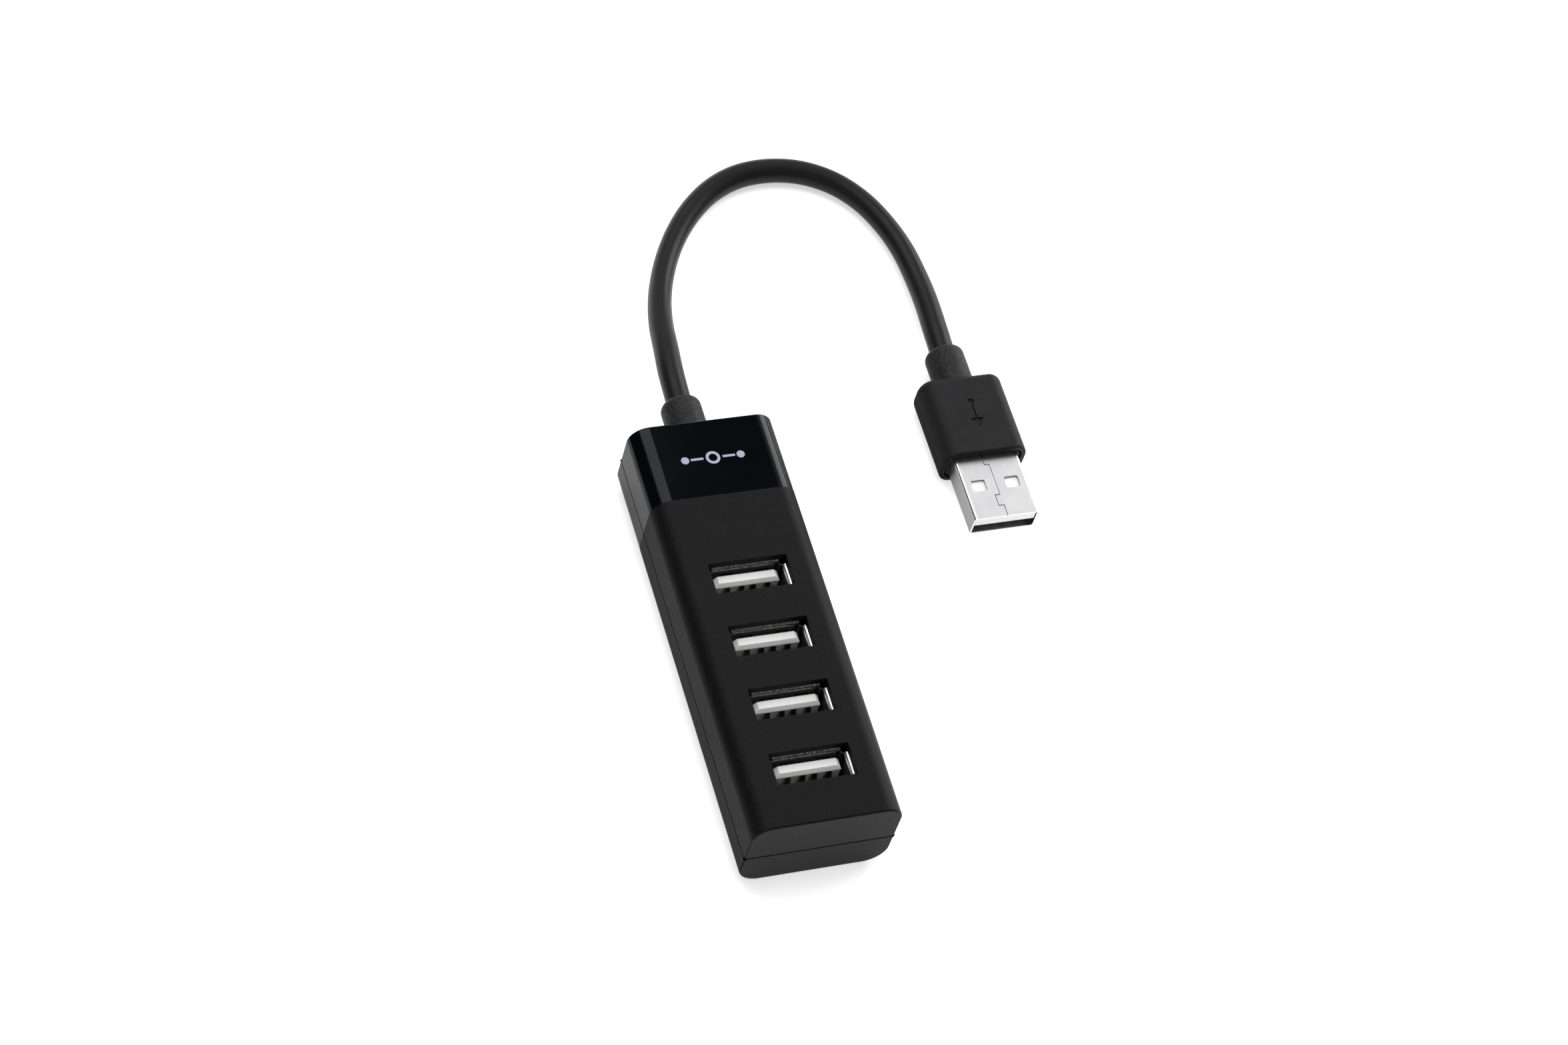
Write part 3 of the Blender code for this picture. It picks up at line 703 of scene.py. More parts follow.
# %% Finishes of the casing
matte_black, tree, shader = finish_named("casing_matte", Specular_IOR_Level=0.115)
skin = group(tree, MOULDED, Scale=5200.0, Roundness=0.6)
marks = group(tree, HANDLED, Smudge_Scale=70.0)
tint = blend_colours(tree, skin["Height"], (0.0020, 0.0018, 0.0024, 1), (0.0090, 0.0083, 0.0100, 1))
tree.links.new(tint, shader.inputs["Base Color"])
tree.links.new(between(tree, marks["Smudges"], 0.44, 0.54), shader.inputs["Roughness"])
raise_surface(tree, shader, skin["Height"], 0.035 * MM)

gloss_black, tree, shader = finish_named("casing_polished", Specular_IOR_Level=0.15)
marks = group(tree, HANDLED, Smudge_Scale=60.0, Speck_Scale=700.0)
tint = blend_colours(tree, marks["Smudges"], (0.0008, 0.0013, 0.0020, 1), (0.0014, 0.0020, 0.0028, 1))
tree.links.new(tint, shader.inputs["Base Color"])
tree.links.new(between(tree, marks["Smudges"], 0.10, 0.16), shader.inputs["Roughness"])

# %% Settle the casing
POLISHED_FROM = 23.9 * MM

for shell, cad_node in ((casing_top, "top_shell"), (casing_bottom, "bottom_shell")):
    pick(shell, lambda f: True, "FACE")
    bpy.ops.mesh.bisect(plane_co=(0, POLISHED_FROM, 0), plane_no=(0, 1, 0))
    shade(shell)
    settle(shell, matte_black, "casing_plastic", cad_node)
    shell.data.materials.append(gloss_black)
    for face in shell.data.polygons:
        face.material_index = int(face.center.y > POLISHED_FROM)

# %% [markdown]
# ## Strain reliefs
#
# A short rubber stub grips the lead where it leaves the casing, and another where it
# enters the plug. Each is a turned shape. We add a disc, then extrude and scale it
# from ring to ring, the way a potter pulls up a wall. The last rings go back in to
# leave the small gap round the jacket that shows as a dark line.


# %% Helper for turned pieces
def turned(name, x, z, rings, sides=64):
    """A round piece along Y, through (radius, y) rings."""
    (radius, y), rest = rings[0], rings[1:]
    piece = start(
        name,
        bpy.ops.mesh.primitive_circle_add,
        vertices=sides,
        radius=radius,
        fill_type="NGON",
        location=(x, y, z),
        rotation=(math.pi / 2, 0, 0),
    )
    pick(piece, lambda f: True, "FACE")
    for next_radius, next_y in rest:
        extrude(y=next_y - y)
        share = next_radius / radius
        widen(share, 1, share, (x, next_y, z))
        radius, y = next_radius, next_y
    bpy.ops.mesh.select_all(action="SELECT")
    bpy.ops.mesh.normals_make_consistent(inside=False)
    alone(piece)
    return piece


def rounded_end(radius, end, corner, bore, steps=6):
    """Rings over a stub's rounded shoulder, across its end and back down round the lead."""
    rings = []
    for step in range(steps + 1):
        angle = math.radians(90 * step / steps)
        rings.append((radius - corner * (1 - math.cos(angle)), end - corner * (1 - math.sin(angle))))
    return rings + [(bore, end), (bore * 0.97, end - 0.9 * MM)]


# %% Strain relief on the casing
RELIEF_RADIUS = 3.55 * MM
RELIEF_CORNER = 1.4 * MM
RELIEF_BORE = CORD_DIAMETER / 2 + 0.1 * MM
NECK_RADIUS = 2.7 * MM
FLANGE = 1.2 * MM
PLAY = 0.3 * MM

_, relief_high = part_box("cord_boot")
inside = HALF_LENGTH - WALL - PLAY
rings = [(RELIEF_RADIUS, inside - FLANGE), (RELIEF_RADIUS, inside), (NECK_RADIUS, inside)]
rings += [(NECK_RADIUS, HALF_LENGTH + 0.05 * MM), (RELIEF_RADIUS - 0.15 * MM, HALF_LENGTH + 0.05 * MM)]
rings += [(RELIEF_RADIUS, HALF_LENGTH + 0.25 * MM)]
rings += rounded_end(RELIEF_RADIUS, relief_high.y, RELIEF_CORNER, RELIEF_BORE)
relief = turned("strain_relief", 0, LEAD_Z, rings)

# %% Finish of the strain reliefs
rubber, tree, shader = finish_named("relief_rubber", Specular_IOR_Level=0.27)
skin = group(tree, MOULDED, Scale=2600.0, Roundness=0.6)
tint = blend_colours(tree, skin["Height"], (0.003, 0.003, 0.003, 1), (0.034, 0.034, 0.035, 1))
tree.links.new(tint, shader.inputs["Base Color"])
tree.links.new(between(tree, skin["Height"], 0.62, 0.42), shader.inputs["Roughness"])
raise_surface(tree, shader, skin["Height"], 0.06 * MM)

# %% Settle the strain relief
shade(relief)
settle(relief, rubber, "boot_rubber", "cord_boot")

# %% [markdown]
# ## A socket's steel shell
#
# Sheet steel, 0.3 mm thick, folded into a tube. Its mouth flares a little so that a
# plug finds its way in, and two sprung fingers are pressed out of each long wall. We
# build one socket about the origin, where mirroring is easy, and copy it four times.

# %% Sizes of a socket
SHELL_HALF = Vector((6.25, 2.56)) * MM
SHELL_CORNER = 0.5 * MM
SHEET = 0.3 * MM
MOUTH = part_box("socket_shell_1")[1].z
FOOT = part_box("socket_shell_1")[0].z
FLARE = ((0.30, 0.03), (0.22, 0.07), (0.16, 0.11), (0.11, 0.15), (0.06, 0.17))
RELIEF_CUT = Vector((5.85, 2.10)) * MM
RELIEF_DEEP = 0.65 * MM
FLARE_HEIGHT = sum(rise for rise, spread in FLARE) * MM
WINDOW_X = 3.1 * MM
WINDOW_HALF = 1.1 * MM
FINGER_HALF = 0.8 * MM
WINDOW_LOW = 8.0 * MM
WINDOW_HIGH = 13.6 * MM

# %% Bend the shell
steel_shell = block("socket_shell", (-SHELL_HALF.x, -SHELL_HALF.y, FOOT), (*SHELL_HALF, MOUTH - FLARE_HEIGHT))
pick(steel_shell, lambda f: abs(f.normal.z) > 0.9, "FACE")
bpy.ops.mesh.delete(type="ONLY_FACE")
round_off(steel_shell, lambda e: runs_along(e, 2), SHELL_CORNER, 5)
pick(steel_shell, lambda e: all(near(v.co.z, MOUTH - FLARE_HEIGHT) for v in e.verts))
half, z = SHELL_HALF.copy(), MOUTH - FLARE_HEIGHT
for rise, spread in FLARE:
    extrude(z=rise * MM)
    z += rise * MM
    wider = half + Vector((spread, spread)) * MM
    widen(wider.x / half.x, wider.y / half.y, 1, (0, 0, z))
    half = wider
apply(steel_shell, "SOLIDIFY", thickness=SHEET, offset=1, use_even_offset=True)
corner = block("corner", (*RELIEF_CUT, MOUTH - RELIEF_DEEP), (*(1.5 * RELIEF_CUT), MOUTH + RELIEF_DEEP))
apply(corner, "MIRROR", use_axis=(True, True, False), use_mirror_merge=False)
combine(steel_shell, corner)

# %% Windows and sprung fingers
FINGER_SHEET = 0.24 * MM
FINGER_BENDS = ((-0.10, 1.2), (-0.22, 1.6), (-0.16, 1.0), (0.02, 0.4), (0.16, 0.5), (0.22, 0.5))

wall = SHELL_HALF.y + (SHEET - FINGER_SHEET) / 2
finger = block(
    "finger",
    (WINDOW_X - FINGER_HALF, wall, WINDOW_LOW - 0.5 * MM),
    (WINDOW_X + FINGER_HALF, wall + FINGER_SHEET, WINDOW_LOW),
)
pick(finger, lambda f: f.normal.z > 0.9, "FACE")
for lean, rise in FINGER_BENDS:
    extrude(y=lean * MM, z=rise * MM)
window = block(
    "window",
    (WINDOW_X - WINDOW_HALF, SHELL_HALF.y - SHEET, WINDOW_LOW),
    (WINDOW_X + WINDOW_HALF, SHELL_HALF.y + 2 * SHEET, WINDOW_HIGH),
)
round_off(window, lambda e: runs_along(e, 1), 0.25 * MM, 3)
for piece in (finger, window):
    apply(piece, "MIRROR", use_axis=(True, True, False), use_mirror_merge=False)
combine(steel_shell, window)
combine(steel_shell, finger, "UNION")
soften(steel_shell, 0.04 * MM, 2)

# %% [markdown]
# ## A socket's tongue
#
# The white nylon tongue holds the contacts. Its tip is chamfered on three sides so
# that a plug slides over it, with a small step below, and four grooves run down the
# side that faces the near end. It is a moulding, so every edge is slightly soft.

# %% Sizes of a tongue
TONGUE_HALF = 5.55 * MM
TONGUE_NEAR = 0.06 * MM
TONGUE_FAR = 1.90 * MM
TONGUE_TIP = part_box("socket_tongue_1")[1].z
TIP_HEIGHT = 0.7 * MM
TIP_NEAR = 0.5 * MM
TIP_SIDE = 0.6 * MM
STEP_HEIGHT = 0.25 * MM
STEP_IN = 0.06 * MM
GROOVE_X = (-3.5, -1.0, 1.0, 3.5)
GROOVE_HALF = 0.6 * MM
GROOVE_DEPTH = 0.55 * MM
GROOVE_TOP = TONGUE_TIP - 1.45 * MM
TONGUE_BASE = Vector((6.1, 2.41, 1.2)) * MM

# %% Mould the tongue
body_top = TONGUE_TIP - TIP_HEIGHT - STEP_HEIGHT
tongue = block(
    "socket_tongue",
    (STEP_IN - TONGUE_HALF, TONGUE_NEAR + STEP_IN, FOOT + TONGUE_BASE.z / 2),
    (TONGUE_HALF - STEP_IN, TONGUE_FAR, body_top),
)
pick(tongue, lambda f: f.normal.z > 0.9, "FACE")
middle = (0, TONGUE_FAR, 0)
depth = TONGUE_FAR - TONGUE_NEAR
extrude(z=0.08 * MM)
widen(TONGUE_HALF / (TONGUE_HALF - STEP_IN), depth / (depth - STEP_IN), 1, middle)
extrude(z=STEP_HEIGHT - 0.08 * MM)
extrude(z=TIP_HEIGHT)
widen((TONGUE_HALF - TIP_SIDE) / TONGUE_HALF, (depth - TIP_NEAR) / depth, 1, middle)
base = block(
    "base",
    (-TONGUE_BASE.x, -TONGUE_BASE.y, FOOT),
    (TONGUE_BASE.x, TONGUE_BASE.y, FOOT + TONGUE_BASE.z),
)
combine(tongue, base, "UNION")
for x in GROOVE_X:
    low = (x * MM - GROOVE_HALF, TONGUE_NEAR - 3 * MM, FOOT + TONGUE_BASE.z)
    combine(tongue, block("groove", low, (x * MM + GROOVE_HALF, TONGUE_NEAR + GROOVE_DEPTH, GROOVE_TOP)))
soften(tongue, 0.05 * MM, 2, 30)

# %% [markdown]
# ## Finishes inside a socket
#
# The steel is satin with fine rolling streaks. Its mouth is where the sheet was
# sheared, and a sheared edge is torn and bright, so the top 0.1 mm gets a coarse
# speckle. On the mouth's +X end that band is painted near white instead: a painted
# highlight, where the flare catches the light. The nylon is white with the faint
# clouding of a filled plastic.

# %% Finishes of the socket
socket_steel, tree, shader = finish_named("socket_steel", Metallic=1.0)
rolled = group(tree, BRUSHED, Width=5200.0, Length=900.0)
where = node(tree, "SeparateXYZ", Vector=place_of(tree)).outputs
# Top band of the mouth: a coarse speckle for the sheared edge, and on the +X end a near-white painted
# highlight in place of the speckle.
mouth_band = maths(tree, "GREATER_THAN", where["Z"], MOUTH - 0.55 * MM)
painted_highlight_end = maths(tree, "GREATER_THAN", where["X"], SHELL_HALF.x)
speckle = node(tree, "TexNoise", Vector=place_of(tree), Scale=5200.0, Detail=3.0, Roughness=0.75)
sharp = node(tree, "MapRange", From_Min=0.45, From_Max=0.65)
tree.links.new(speckle.outputs["Fac"], sharp.inputs["Value"])
flecks = blend_colours(tree, sharp.outputs["Result"], grey(0.06), grey(0.60))
# The band's colour: the speckle, or the painted highlight on the +X end.
edge = blend_colours(tree, painted_highlight_end, flecks, grey(0.98))
steel = blend_colours(tree, rolled["Streaks"], grey(0.13), grey(0.24))
tree.links.new(blend_colours(tree, mouth_band, steel, edge), shader.inputs["Base Color"])
rough = maths(tree, "ADD", between(tree, rolled["Clouds"], 0.20, 0.32), maths(tree, "MULTIPLY", mouth_band, 0.1))
tree.links.new(rough, shader.inputs["Roughness"])
raise_surface(tree, shader, rolled["Streaks"], 0.006 * MM)

nylon, tree, shader = finish_named("white_nylon", Specular_IOR_Level=0.4, Subsurface_Weight=0.15)
shader.inputs["Subsurface Scale"].default_value = 0.4 * MM
shader.inputs["Subsurface Radius"].default_value = (1.0, 0.9, 0.8)
skin = group(tree, MOULDED, Scale=4200.0, Roundness=0.3)
marks = group(tree, HANDLED, Smudge_Scale=500.0, Speck_Scale=900.0)
clean = blend_colours(tree, skin["Patches"], (0.87, 0.87, 0.86, 1), (0.96, 0.96, 0.95, 1))
specks = maths(tree, "MULTIPLY", marks["Specks"], 0.35)
tree.links.new(blend_colours(tree, specks, clean, (0.30, 0.29, 0.27, 1)), shader.inputs["Base Color"])
tree.links.new(between(tree, marks["Smudges"], 0.36, 0.50), shader.inputs["Roughness"])
raise_surface(tree, shader, skin["Height"], 0.006 * MM)

# %% Four sockets
for number in SOCKETS:
    shift = Vector((0, socket_middle(number), 0))
    for master, word, material, slot in (
        (steel_shell, "socket_shell", socket_steel, "socket_steel"),
        (tongue, "socket_tongue", nylon, "white_plastic"),
    ):
        made = copy_to(master, f"{word}_at_{number}", shift)
        shade(made)
        settle(made, material, slot, f"{word}_{number}")
for master in (steel_shell, tongue):
    bpy.data.objects.remove(master, do_unlink=True)

# %% [markdown]
# ## The mark on the top
#
# The polished end carries a small printed mark. Ours is a plain sign for a hub: one
# ring in the middle, with a line and a dot on each side. The ink stands 0.015 mm proud,
# thick enough to catch its own edge.

# %% The printed mark
MARK_MIDDLE = Vector((-0.0002, 0.0313, HEIGHT))
MARK_INK = 0.015 * MM
MARK_RING = (0.75 * MM, 1.25 * MM)
MARK_DOT_X = 4.9 * MM
MARK_DOT = 0.7 * MM
MARK_BAR = (1.7 * MM, 3.9 * MM, 0.22 * MM)


def disc(name, radius, x, depth=MARK_INK, sides=48):
    """A disc of ink, centred on a point of the mark's line."""
    place = MARK_MIDDLE + Vector((x, 0, depth / 2 if depth == MARK_INK else 0))
    add = bpy.ops.mesh.primitive_cylinder_add
    return start(name, add, vertices=sides, radius=radius, depth=depth, location=place)


mark = disc("printed_mark", MARK_RING[1], 0)
combine(mark, disc("middle", MARK_RING[0], 0, depth=4 * MARK_INK))
for side in (-1, 1):
    ends = sorted((side * MARK_BAR[0], side * MARK_BAR[1]))
    low = MARK_MIDDLE + Vector((ends[0], -MARK_BAR[2], 0))
    high = MARK_MIDDLE + Vector((ends[1], MARK_BAR[2], MARK_INK))
    combine(mark, block("bar", low, high), "UNION")
    combine(mark, disc("dot", MARK_DOT, side * MARK_DOT_X), "UNION")

# %% Finish of the mark
ink, tree, shader = finish_named("pale_ink", Specular_IOR_Level=0.3)
skin = group(tree, MOULDED, Scale=9000.0, Roundness=0.4)
tint = blend_colours(tree, skin["Patches"], (0.30, 0.31, 0.42, 1), (0.40, 0.41, 0.53, 1))
tree.links.new(tint, shader.inputs["Base Color"])
tree.links.new(between(tree, skin["Height"], 0.40, 0.60), shader.inputs["Roughness"])
raise_surface(tree, shader, skin["Height"], 0.003 * MM)
shade(mark)
settle(mark, ink, "white_plastic")

# %% [markdown]
# ## The plug's steel shell
#
# An A plug is a flat tube, 12 by 4.5 mm, folded from 0.3 mm sheet. The fold closes in
# the middle of the top with a dovetailed seam, and each wide wall has two latch holes.

# %% Fold the plug's shell
PLUG_LOW, PLUG_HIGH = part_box("plug_shell")
PLUG_X, PLUG_Z = (PLUG_LOW.x + PLUG_HIGH.x) / 2, (PLUG_LOW.z + PLUG_HIGH.z) / 2
MOUTH_Y = PLUG_LOW.y
PLUG_CORNER = 0.55 * MM
LATCH_X, LATCH_Y = 3.1 * MM, 6.7 * MM
LATCH_HALF = Vector((1.3, 1.15)) * MM

plug_shell = block("plug_steel", PLUG_LOW, PLUG_HIGH)
pick(plug_shell, lambda f: abs(f.normal.y) > 0.9, "FACE")
bpy.ops.mesh.delete(type="ONLY_FACE")
round_off(plug_shell, lambda e: runs_along(e, 1), PLUG_CORNER, 6)
apply(plug_shell, "SOLIDIFY", thickness=SHEET, offset=-1, use_even_offset=True)
for side in (-1, 1):
    x, y = PLUG_X + side * LATCH_X, MOUTH_Y + LATCH_Y
    low = (x - LATCH_HALF.x, y - LATCH_HALF.y, PLUG_LOW.z - SHEET)
    hole = block("latch_hole", low, (x + LATCH_HALF.x, y + LATCH_HALF.y, PLUG_HIGH.z + SHEET))
    round_off(hole, lambda e: runs_along(e, 2), 0.4 * MM, 4)
    combine(plug_shell, hole)

# %% The seam
SEAM_HALF = 0.075 * MM
SEAM_DEPTH = 0.2 * MM
SEAM_RUNS = ((0.1, 0.0, 2.2), (-0.85, 2.2, 4.4), (0.05, 4.4, 10.77), (-0.8, 10.77, 13.0))


def cut_seam(x_low, x_high, y_low, y_high):
    """Cuts one straight length of the seam, given by its middle line in millimetres."""
    low = Vector(
        (PLUG_X + x_low * MM - SEAM_HALF, MOUTH_Y + y_low * MM - SEAM_HALF, PLUG_HIGH.z - SEAM_DEPTH)
    )
    high = Vector((PLUG_X + x_high * MM + SEAM_HALF, MOUTH_Y + y_high * MM + SEAM_HALF, PLUG_HIGH.z + SHEET))
    combine(plug_shell, block("seam", low, high))


before = None
for x, y_low, y_high in SEAM_RUNS:
    if before is not None:
        cut_seam(min(x, before), max(x, before), y_low, y_low)
    cut_seam(x, x, y_low, y_high)
    before = x
soften(plug_shell, 0.05 * MM, 2, 50)

# %% Finish of the plug's shell
plug_nickel, tree, shader = finish_named("plug_nickel", Metallic=1.0)
rolled = group(tree, BRUSHED, Width=4200.0, Length=260.0)
marks = group(tree, HANDLED, Smudge_Scale=260.0)
tint = blend_colours(tree, rolled["Streaks"], (0.77, 0.77, 0.78, 1), (0.87, 0.87, 0.88, 1))
# Inside the shell, behind the mouth, the steel is painted dark grey instead of nickel: painted shade in the
# cavity, where the inner walls get little light.
where = node(tree, "SeparateXYZ", Vector=place_of(tree)).outputs
half_x, half_z = (PLUG_HIGH.x - PLUG_LOW.x) / 2 - 0.2 * MM, (PLUG_HIGH.z - PLUG_LOW.z) / 2 - 0.07 * MM
across = maths(tree, "ABSOLUTE", maths(tree, "SUBTRACT", where["X"], PLUG_X))
upward = maths(tree, "ABSOLUTE", maths(tree, "SUBTRACT", where["Z"], PLUG_Z))
in_width = maths(tree, "LESS_THAN", across, half_x)
in_height = maths(tree, "LESS_THAN", upward, half_z)
painted_shade_inside = maths(tree, "MULTIPLY", in_width, in_height)
painted_shade_inside = maths(tree, "MULTIPLY", painted_shade_inside, maths(tree, "GREATER_THAN", where["Y"], MOUTH_Y + 0.12 * MM))
tree.links.new(blend_colours(tree, painted_shade_inside, tint, grey(0.16)), shader.inputs["Base Color"])
smudged = maths(tree, "MULTIPLY", marks["Smudges"], 0.1)
rough = maths(tree, "ADD", between(tree, rolled["Streaks"], 0.22, 0.30), smudged)
tree.links.new(rough, shader.inputs["Roughness"])
raise_surface(tree, shader, rolled["Streaks"], 0.004 * MM)
shade(plug_shell)
settle(plug_shell, plug_nickel, "plug_nickel", "plug_shell")

# %% [markdown]
# ## The plug's white insert
#
# A blade under the top wall carries the four contacts on its lower side, and a block
# behind it fills the shell. It sits 0.15 mm inside the mouth.

# %% The insert
INSERT_LOW, INSERT_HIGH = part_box("plug_insulator")
CONTACT_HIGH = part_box("plug_contact_1")[1]
BLADE_LOW = CONTACT_HIGH.z + 0.05 * MM

insert = block("plug_insert", (INSERT_LOW.x, INSERT_LOW.y, BLADE_LOW), INSERT_HIGH)
filler_start = CONTACT_HIGH.y + PLAY
filler = block(
    "filler",
    (INSERT_LOW.x, filler_start, INSERT_LOW.z),
    (INSERT_HIGH.x, INSERT_HIGH.y, BLADE_LOW + PLAY),
)
combine(insert, filler, "UNION")
soften(insert, 0.08 * MM, 2)
shade(insert)
settle(insert, nylon, "white_plastic", "plug_insulator")

# %% [markdown]
# ## The plug's grip
#
# The grip is moulded over the steel: a block with broad elliptical sides, rounded at
# the back where the boot grows out of it, and open in front in a shallow pocket that
# an inner moulding fills. Round the middle runs the thin line where the mould closes.

# %% Shape the grip
GRIP_LOW, GRIP_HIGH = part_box("plug_overmould")
GRIP_BACK = GRIP_LOW.y + 16.5 * MM
GRIP_ROUND = 2.6 * MM
GRIP_TALL = 3.2 * MM
GRIP_BACK_ROUND = 1.5 * MM
GRIP_LIP = 0.35 * MM
POCKET_WALL = 0.9 * MM
POCKET_DEPTH = 8.6 * MM
MOULD_LINE = 0.06 * MM

GRIP_HALF_Z = (GRIP_HIGH.z - GRIP_LOW.z) / 2
squeezed = GRIP_HALF_Z * GRIP_ROUND / GRIP_TALL
low = (GRIP_LOW.x, GRIP_LOW.y, PLUG_Z - squeezed)
grip = block("plug_grip", low, (GRIP_HIGH.x, GRIP_BACK, PLUG_Z + squeezed))
round_off(grip, lambda e: runs_along(e, 1), GRIP_ROUND, 14)
pick(grip, lambda f: True, "FACE")
widen(1, 1, GRIP_TALL / GRIP_ROUND, (PLUG_X, 0, PLUG_Z))
round_off(grip, lambda e: all(near(v.co.y, GRIP_BACK) for v in e.verts), GRIP_BACK_ROUND, 7)
round_off(grip, lambda e: all(near(v.co.y, GRIP_LOW.y) for v in e.verts), GRIP_LIP, 4)
pick(grip, lambda f: abs(f.normal.y) < 0.9, "FACE")
for side in (-1, 1):
    bpy.ops.mesh.bisect(plane_co=(0, 0, PLUG_Z + side * MOULD_LINE), plane_no=(0, 0, 1))
    pick(grip, lambda f: abs(f.normal.y) < 0.9, "FACE")
pick(grip, lambda f: abs(f.normal.y) < 0.9 and near(f.calc_center_median().z, PLUG_Z), "FACE")
bpy.ops.mesh.extrude_region_shrink_fatten(TRANSFORM_OT_shrink_fatten={"value": -MOULD_LINE})
pick(grip, lambda f: f.normal.y < -0.99, "FACE")
bpy.ops.mesh.inset(thickness=POCKET_WALL - GRIP_LIP, use_even_offset=True)
extrude(y=POCKET_DEPTH)

# %% The arrow on the grip
ARROW_DEEP = 0.3 * MM
ARROW_Y = (36.1 * MM, 41.6 * MM)
ARROW_HEAD = 1.35 * MM
ARROW_HALF = 0.17 * MM
ARROW_TAIL = 0.6 * MM

arrow_x = PLUG_X + 0.1 * MM
low = (arrow_x - ARROW_HALF, ARROW_Y[0] + ARROW_HEAD, GRIP_HIGH.z - ARROW_DEEP)
combine(grip, block("shaft", low, (arrow_x + ARROW_HALF, ARROW_Y[1], GRIP_HIGH.z + ARROW_DEEP)))
for sides, radius, y in ((3, ARROW_HEAD, ARROW_Y[0] + ARROW_HEAD), (32, ARROW_TAIL, ARROW_Y[1])):
    shape = start(
        "arrow_end",
        bpy.ops.mesh.primitive_cylinder_add,
        vertices=sides,
        radius=radius,
        depth=2 * ARROW_DEEP,
        location=(arrow_x, y, GRIP_HIGH.z),
        rotation=(0, 0, math.pi),
    )
    combine(grip, shape)
soften(grip, 0.05 * MM, 2, 60)

# %% The boot behind the grip
rings = [(RELIEF_RADIUS, GRIP_BACK - 1.1 * MM)]
rings += rounded_end(RELIEF_RADIUS, GRIP_HIGH.y, RELIEF_CORNER, RELIEF_BORE)
plug_boot = turned("plug_boot", PLUG_X, PLUG_Z, rings)

# %% The inner moulding
INNER_LOW, INNER_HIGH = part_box("plug_inner_mould")
INNER_ROUND = 1.9 * MM
SHELL_PLAY = 0.05 * MM

inner_mould = block("plug_inner", INNER_LOW, INNER_HIGH)
round_off(inner_mould, lambda e: runs_along(e, 1), INNER_ROUND, 8)
bore_low = (PLUG_LOW.x - SHELL_PLAY, INNER_LOW.y - PLAY, PLUG_LOW.z - SHELL_PLAY)
bore_high = (PLUG_HIGH.x + SHELL_PLAY, PLUG_HIGH.y + PLAY, PLUG_HIGH.z + SHELL_PLAY)
combine(inner_mould, block("bore", bore_low, bore_high))
soften(inner_mould, 0.12 * MM, 2)

# %% Finish of the grip
grip_plastic, tree, shader = finish_named("grip_plastic", Specular_IOR_Level=0.17)
skin = group(tree, MOULDED, Scale=3600.0, Roundness=0.9)
tint = blend_colours(tree, skin["Patches"], (0.0062, 0.0057, 0.0068, 1), (0.0110, 0.0103, 0.0118, 1))
tree.links.new(tint, shader.inputs["Base Color"])
tree.links.new(between(tree, skin["Height"], 0.58, 0.44), shader.inputs["Roughness"])
raise_surface(tree, shader, skin["Height"], 0.03 * MM)

for piece, material, slot, cad_node in (
    (grip, grip_plastic, "grip_plastic", "plug_overmould"),
    (plug_boot, rubber, "grip_plastic", "plug_overmould"),
    (inner_mould, rubber, "inner_mould_plastic", "plug_inner_mould"),
):
    shade(piece)
    settle(piece, material, slot, cad_node)

# %% [markdown]
# ## What hides inside
#
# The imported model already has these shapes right: the board, the chip, the crystal, two
# capacitors, the wires and every contact. They keep their meshes and only need better
# materials. Most are seen only when the casing is taken off, or down in a socket.


# %% Finishes of the electronics
def painted(name, dark, light, slow=900.0, **settings):
    """A plain finish with a fine, uneven tint."""
    material, tree, shader = finish_named(name, **settings)
    skin = group(tree, MOULDED, Scale=5000.0, Roundness=0.3)
    marks = group(tree, HANDLED, Smudge_Scale=slow)
    tree.links.new(blend_colours(tree, marks["Smudges"], dark, light), shader.inputs["Base Color"])
    roughness = shader.inputs["Roughness"].default_value
    rough = between(tree, marks["Smudges"], roughness - 0.06, roughness + 0.06)
    tree.links.new(rough, shader.inputs["Roughness"])
    raise_surface(tree, shader, skin["Height"], 0.003 * MM)
    return material


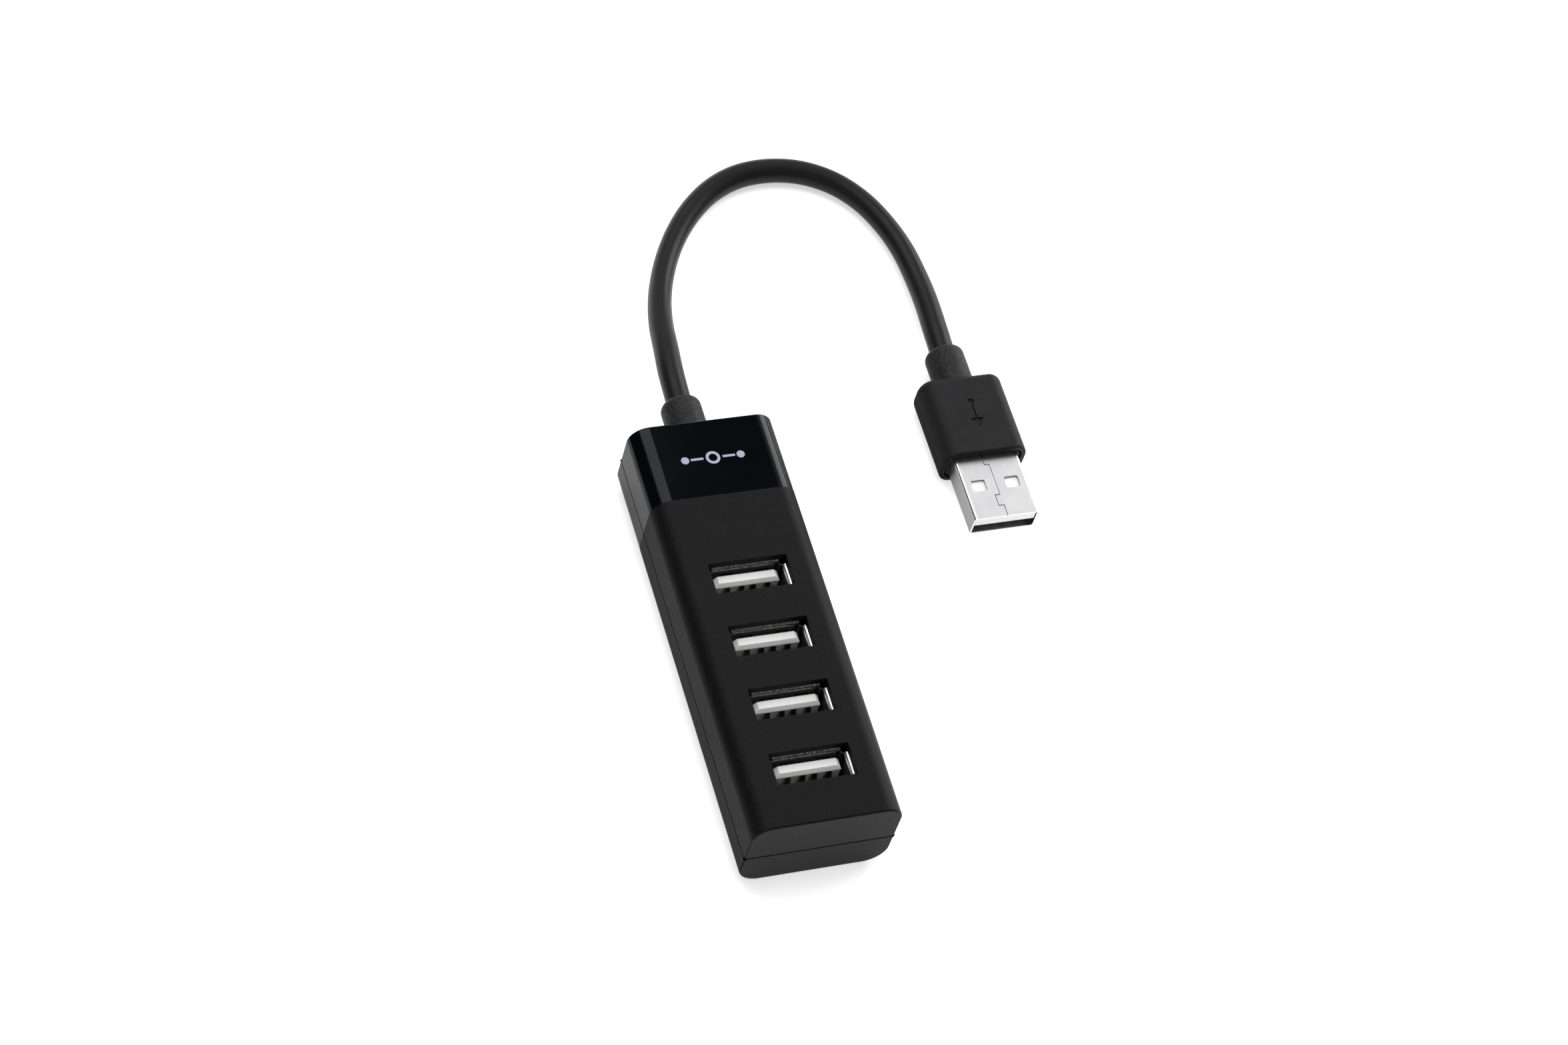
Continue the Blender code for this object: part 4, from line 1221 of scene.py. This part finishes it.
gold = painted("contact_gold", (0.72, 0.46, 0.14, 1), (0.85, 0.58, 0.22, 1), Metallic=1.0, Roughness=0.28)
# The socket contacts are painted almost black: painted shade for their place deep in the grooves, not the
# contacts' own colour.
SPRING_SHADE_DARK, SPRING_SHADE_LIGHT = (0.035, 0.030, 0.024, 1), (0.060, 0.052, 0.042, 1)
painted_shade_contact = painted("contact_spring_painted_shade", SPRING_SHADE_DARK, SPRING_SHADE_LIGHT, Metallic=1.0, Roughness=0.4)
GREEN_DARK, GREEN_LIGHT = (0.010, 0.075, 0.025, 1), (0.016, 0.105, 0.038, 1)
board_green = painted("board_green", GREEN_DARK, GREEN_LIGHT, 420.0, Roughness=0.35)
chip_black = painted("chip_black", grey(0.010), grey(0.022), Roughness=0.55)
can_steel = painted("crystal_can", grey(0.55), grey(0.68), Metallic=1.0, Roughness=0.30)
CAN_DARK, CAN_LIGHT = (0.40, 0.42, 0.46, 1), (0.52, 0.54, 0.58, 1)
can_blue = painted("capacitor_can", CAN_DARK, CAN_LIGHT, Metallic=1.0, Roughness=0.33)
WIRES = {
    "wire_power": ("wire_red", (0.42, 0.015, 0.012, 1), (0.55, 0.028, 0.020, 1)),
    "wire_data_minus": ("wire_white", (0.62, 0.62, 0.60, 1), (0.76, 0.76, 0.74, 1)),
    "wire_data_plus": ("wire_green", (0.012, 0.20, 0.030, 1), (0.022, 0.30, 0.050, 1)),
    "wire_ground": ("wire_black", grey(0.010), grey(0.020)),
}
finishes = {
    "circuit_board": board_green,
    "hub_chip": chip_black,
    "crystal": can_steel,
    "capacitor_main": can_blue,
    "capacitor_bypass": can_blue,
}
for wire, (name, dark, light) in WIRES.items():
    finishes[wire] = painted(name, dark, light, Roughness=0.42)
plug_contacts = [f"plug_contact_{number}" for number in (1, 2, 3, 4)]
for contact in plug_contacts:
    finishes[contact] = gold
# Every socket contact takes the painted-shade finish.
for number in SOCKETS:
    for pin in (1, 2, 3, 4):
        finishes[f"socket_contact_{number}_{pin}"] = painted_shade_contact
for cad_node, material in finishes.items():
    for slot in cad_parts[cad_node].material_slots:
        slot.material = material
print("finishes on packed pieces:", len(finishes))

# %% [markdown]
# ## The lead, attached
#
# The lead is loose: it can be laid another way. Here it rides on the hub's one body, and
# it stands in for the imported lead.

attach(cord, "root")
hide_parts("cord")
alone(None)

# %% [markdown]
# ## The size of the imported model
#
# The finished object has to fill the imported model's box, so that box's size is printed.

# %% Sizes
print("packed model:", [round(side / MM, 1) for side in cad_box[1] - cad_box[0]], "mm")
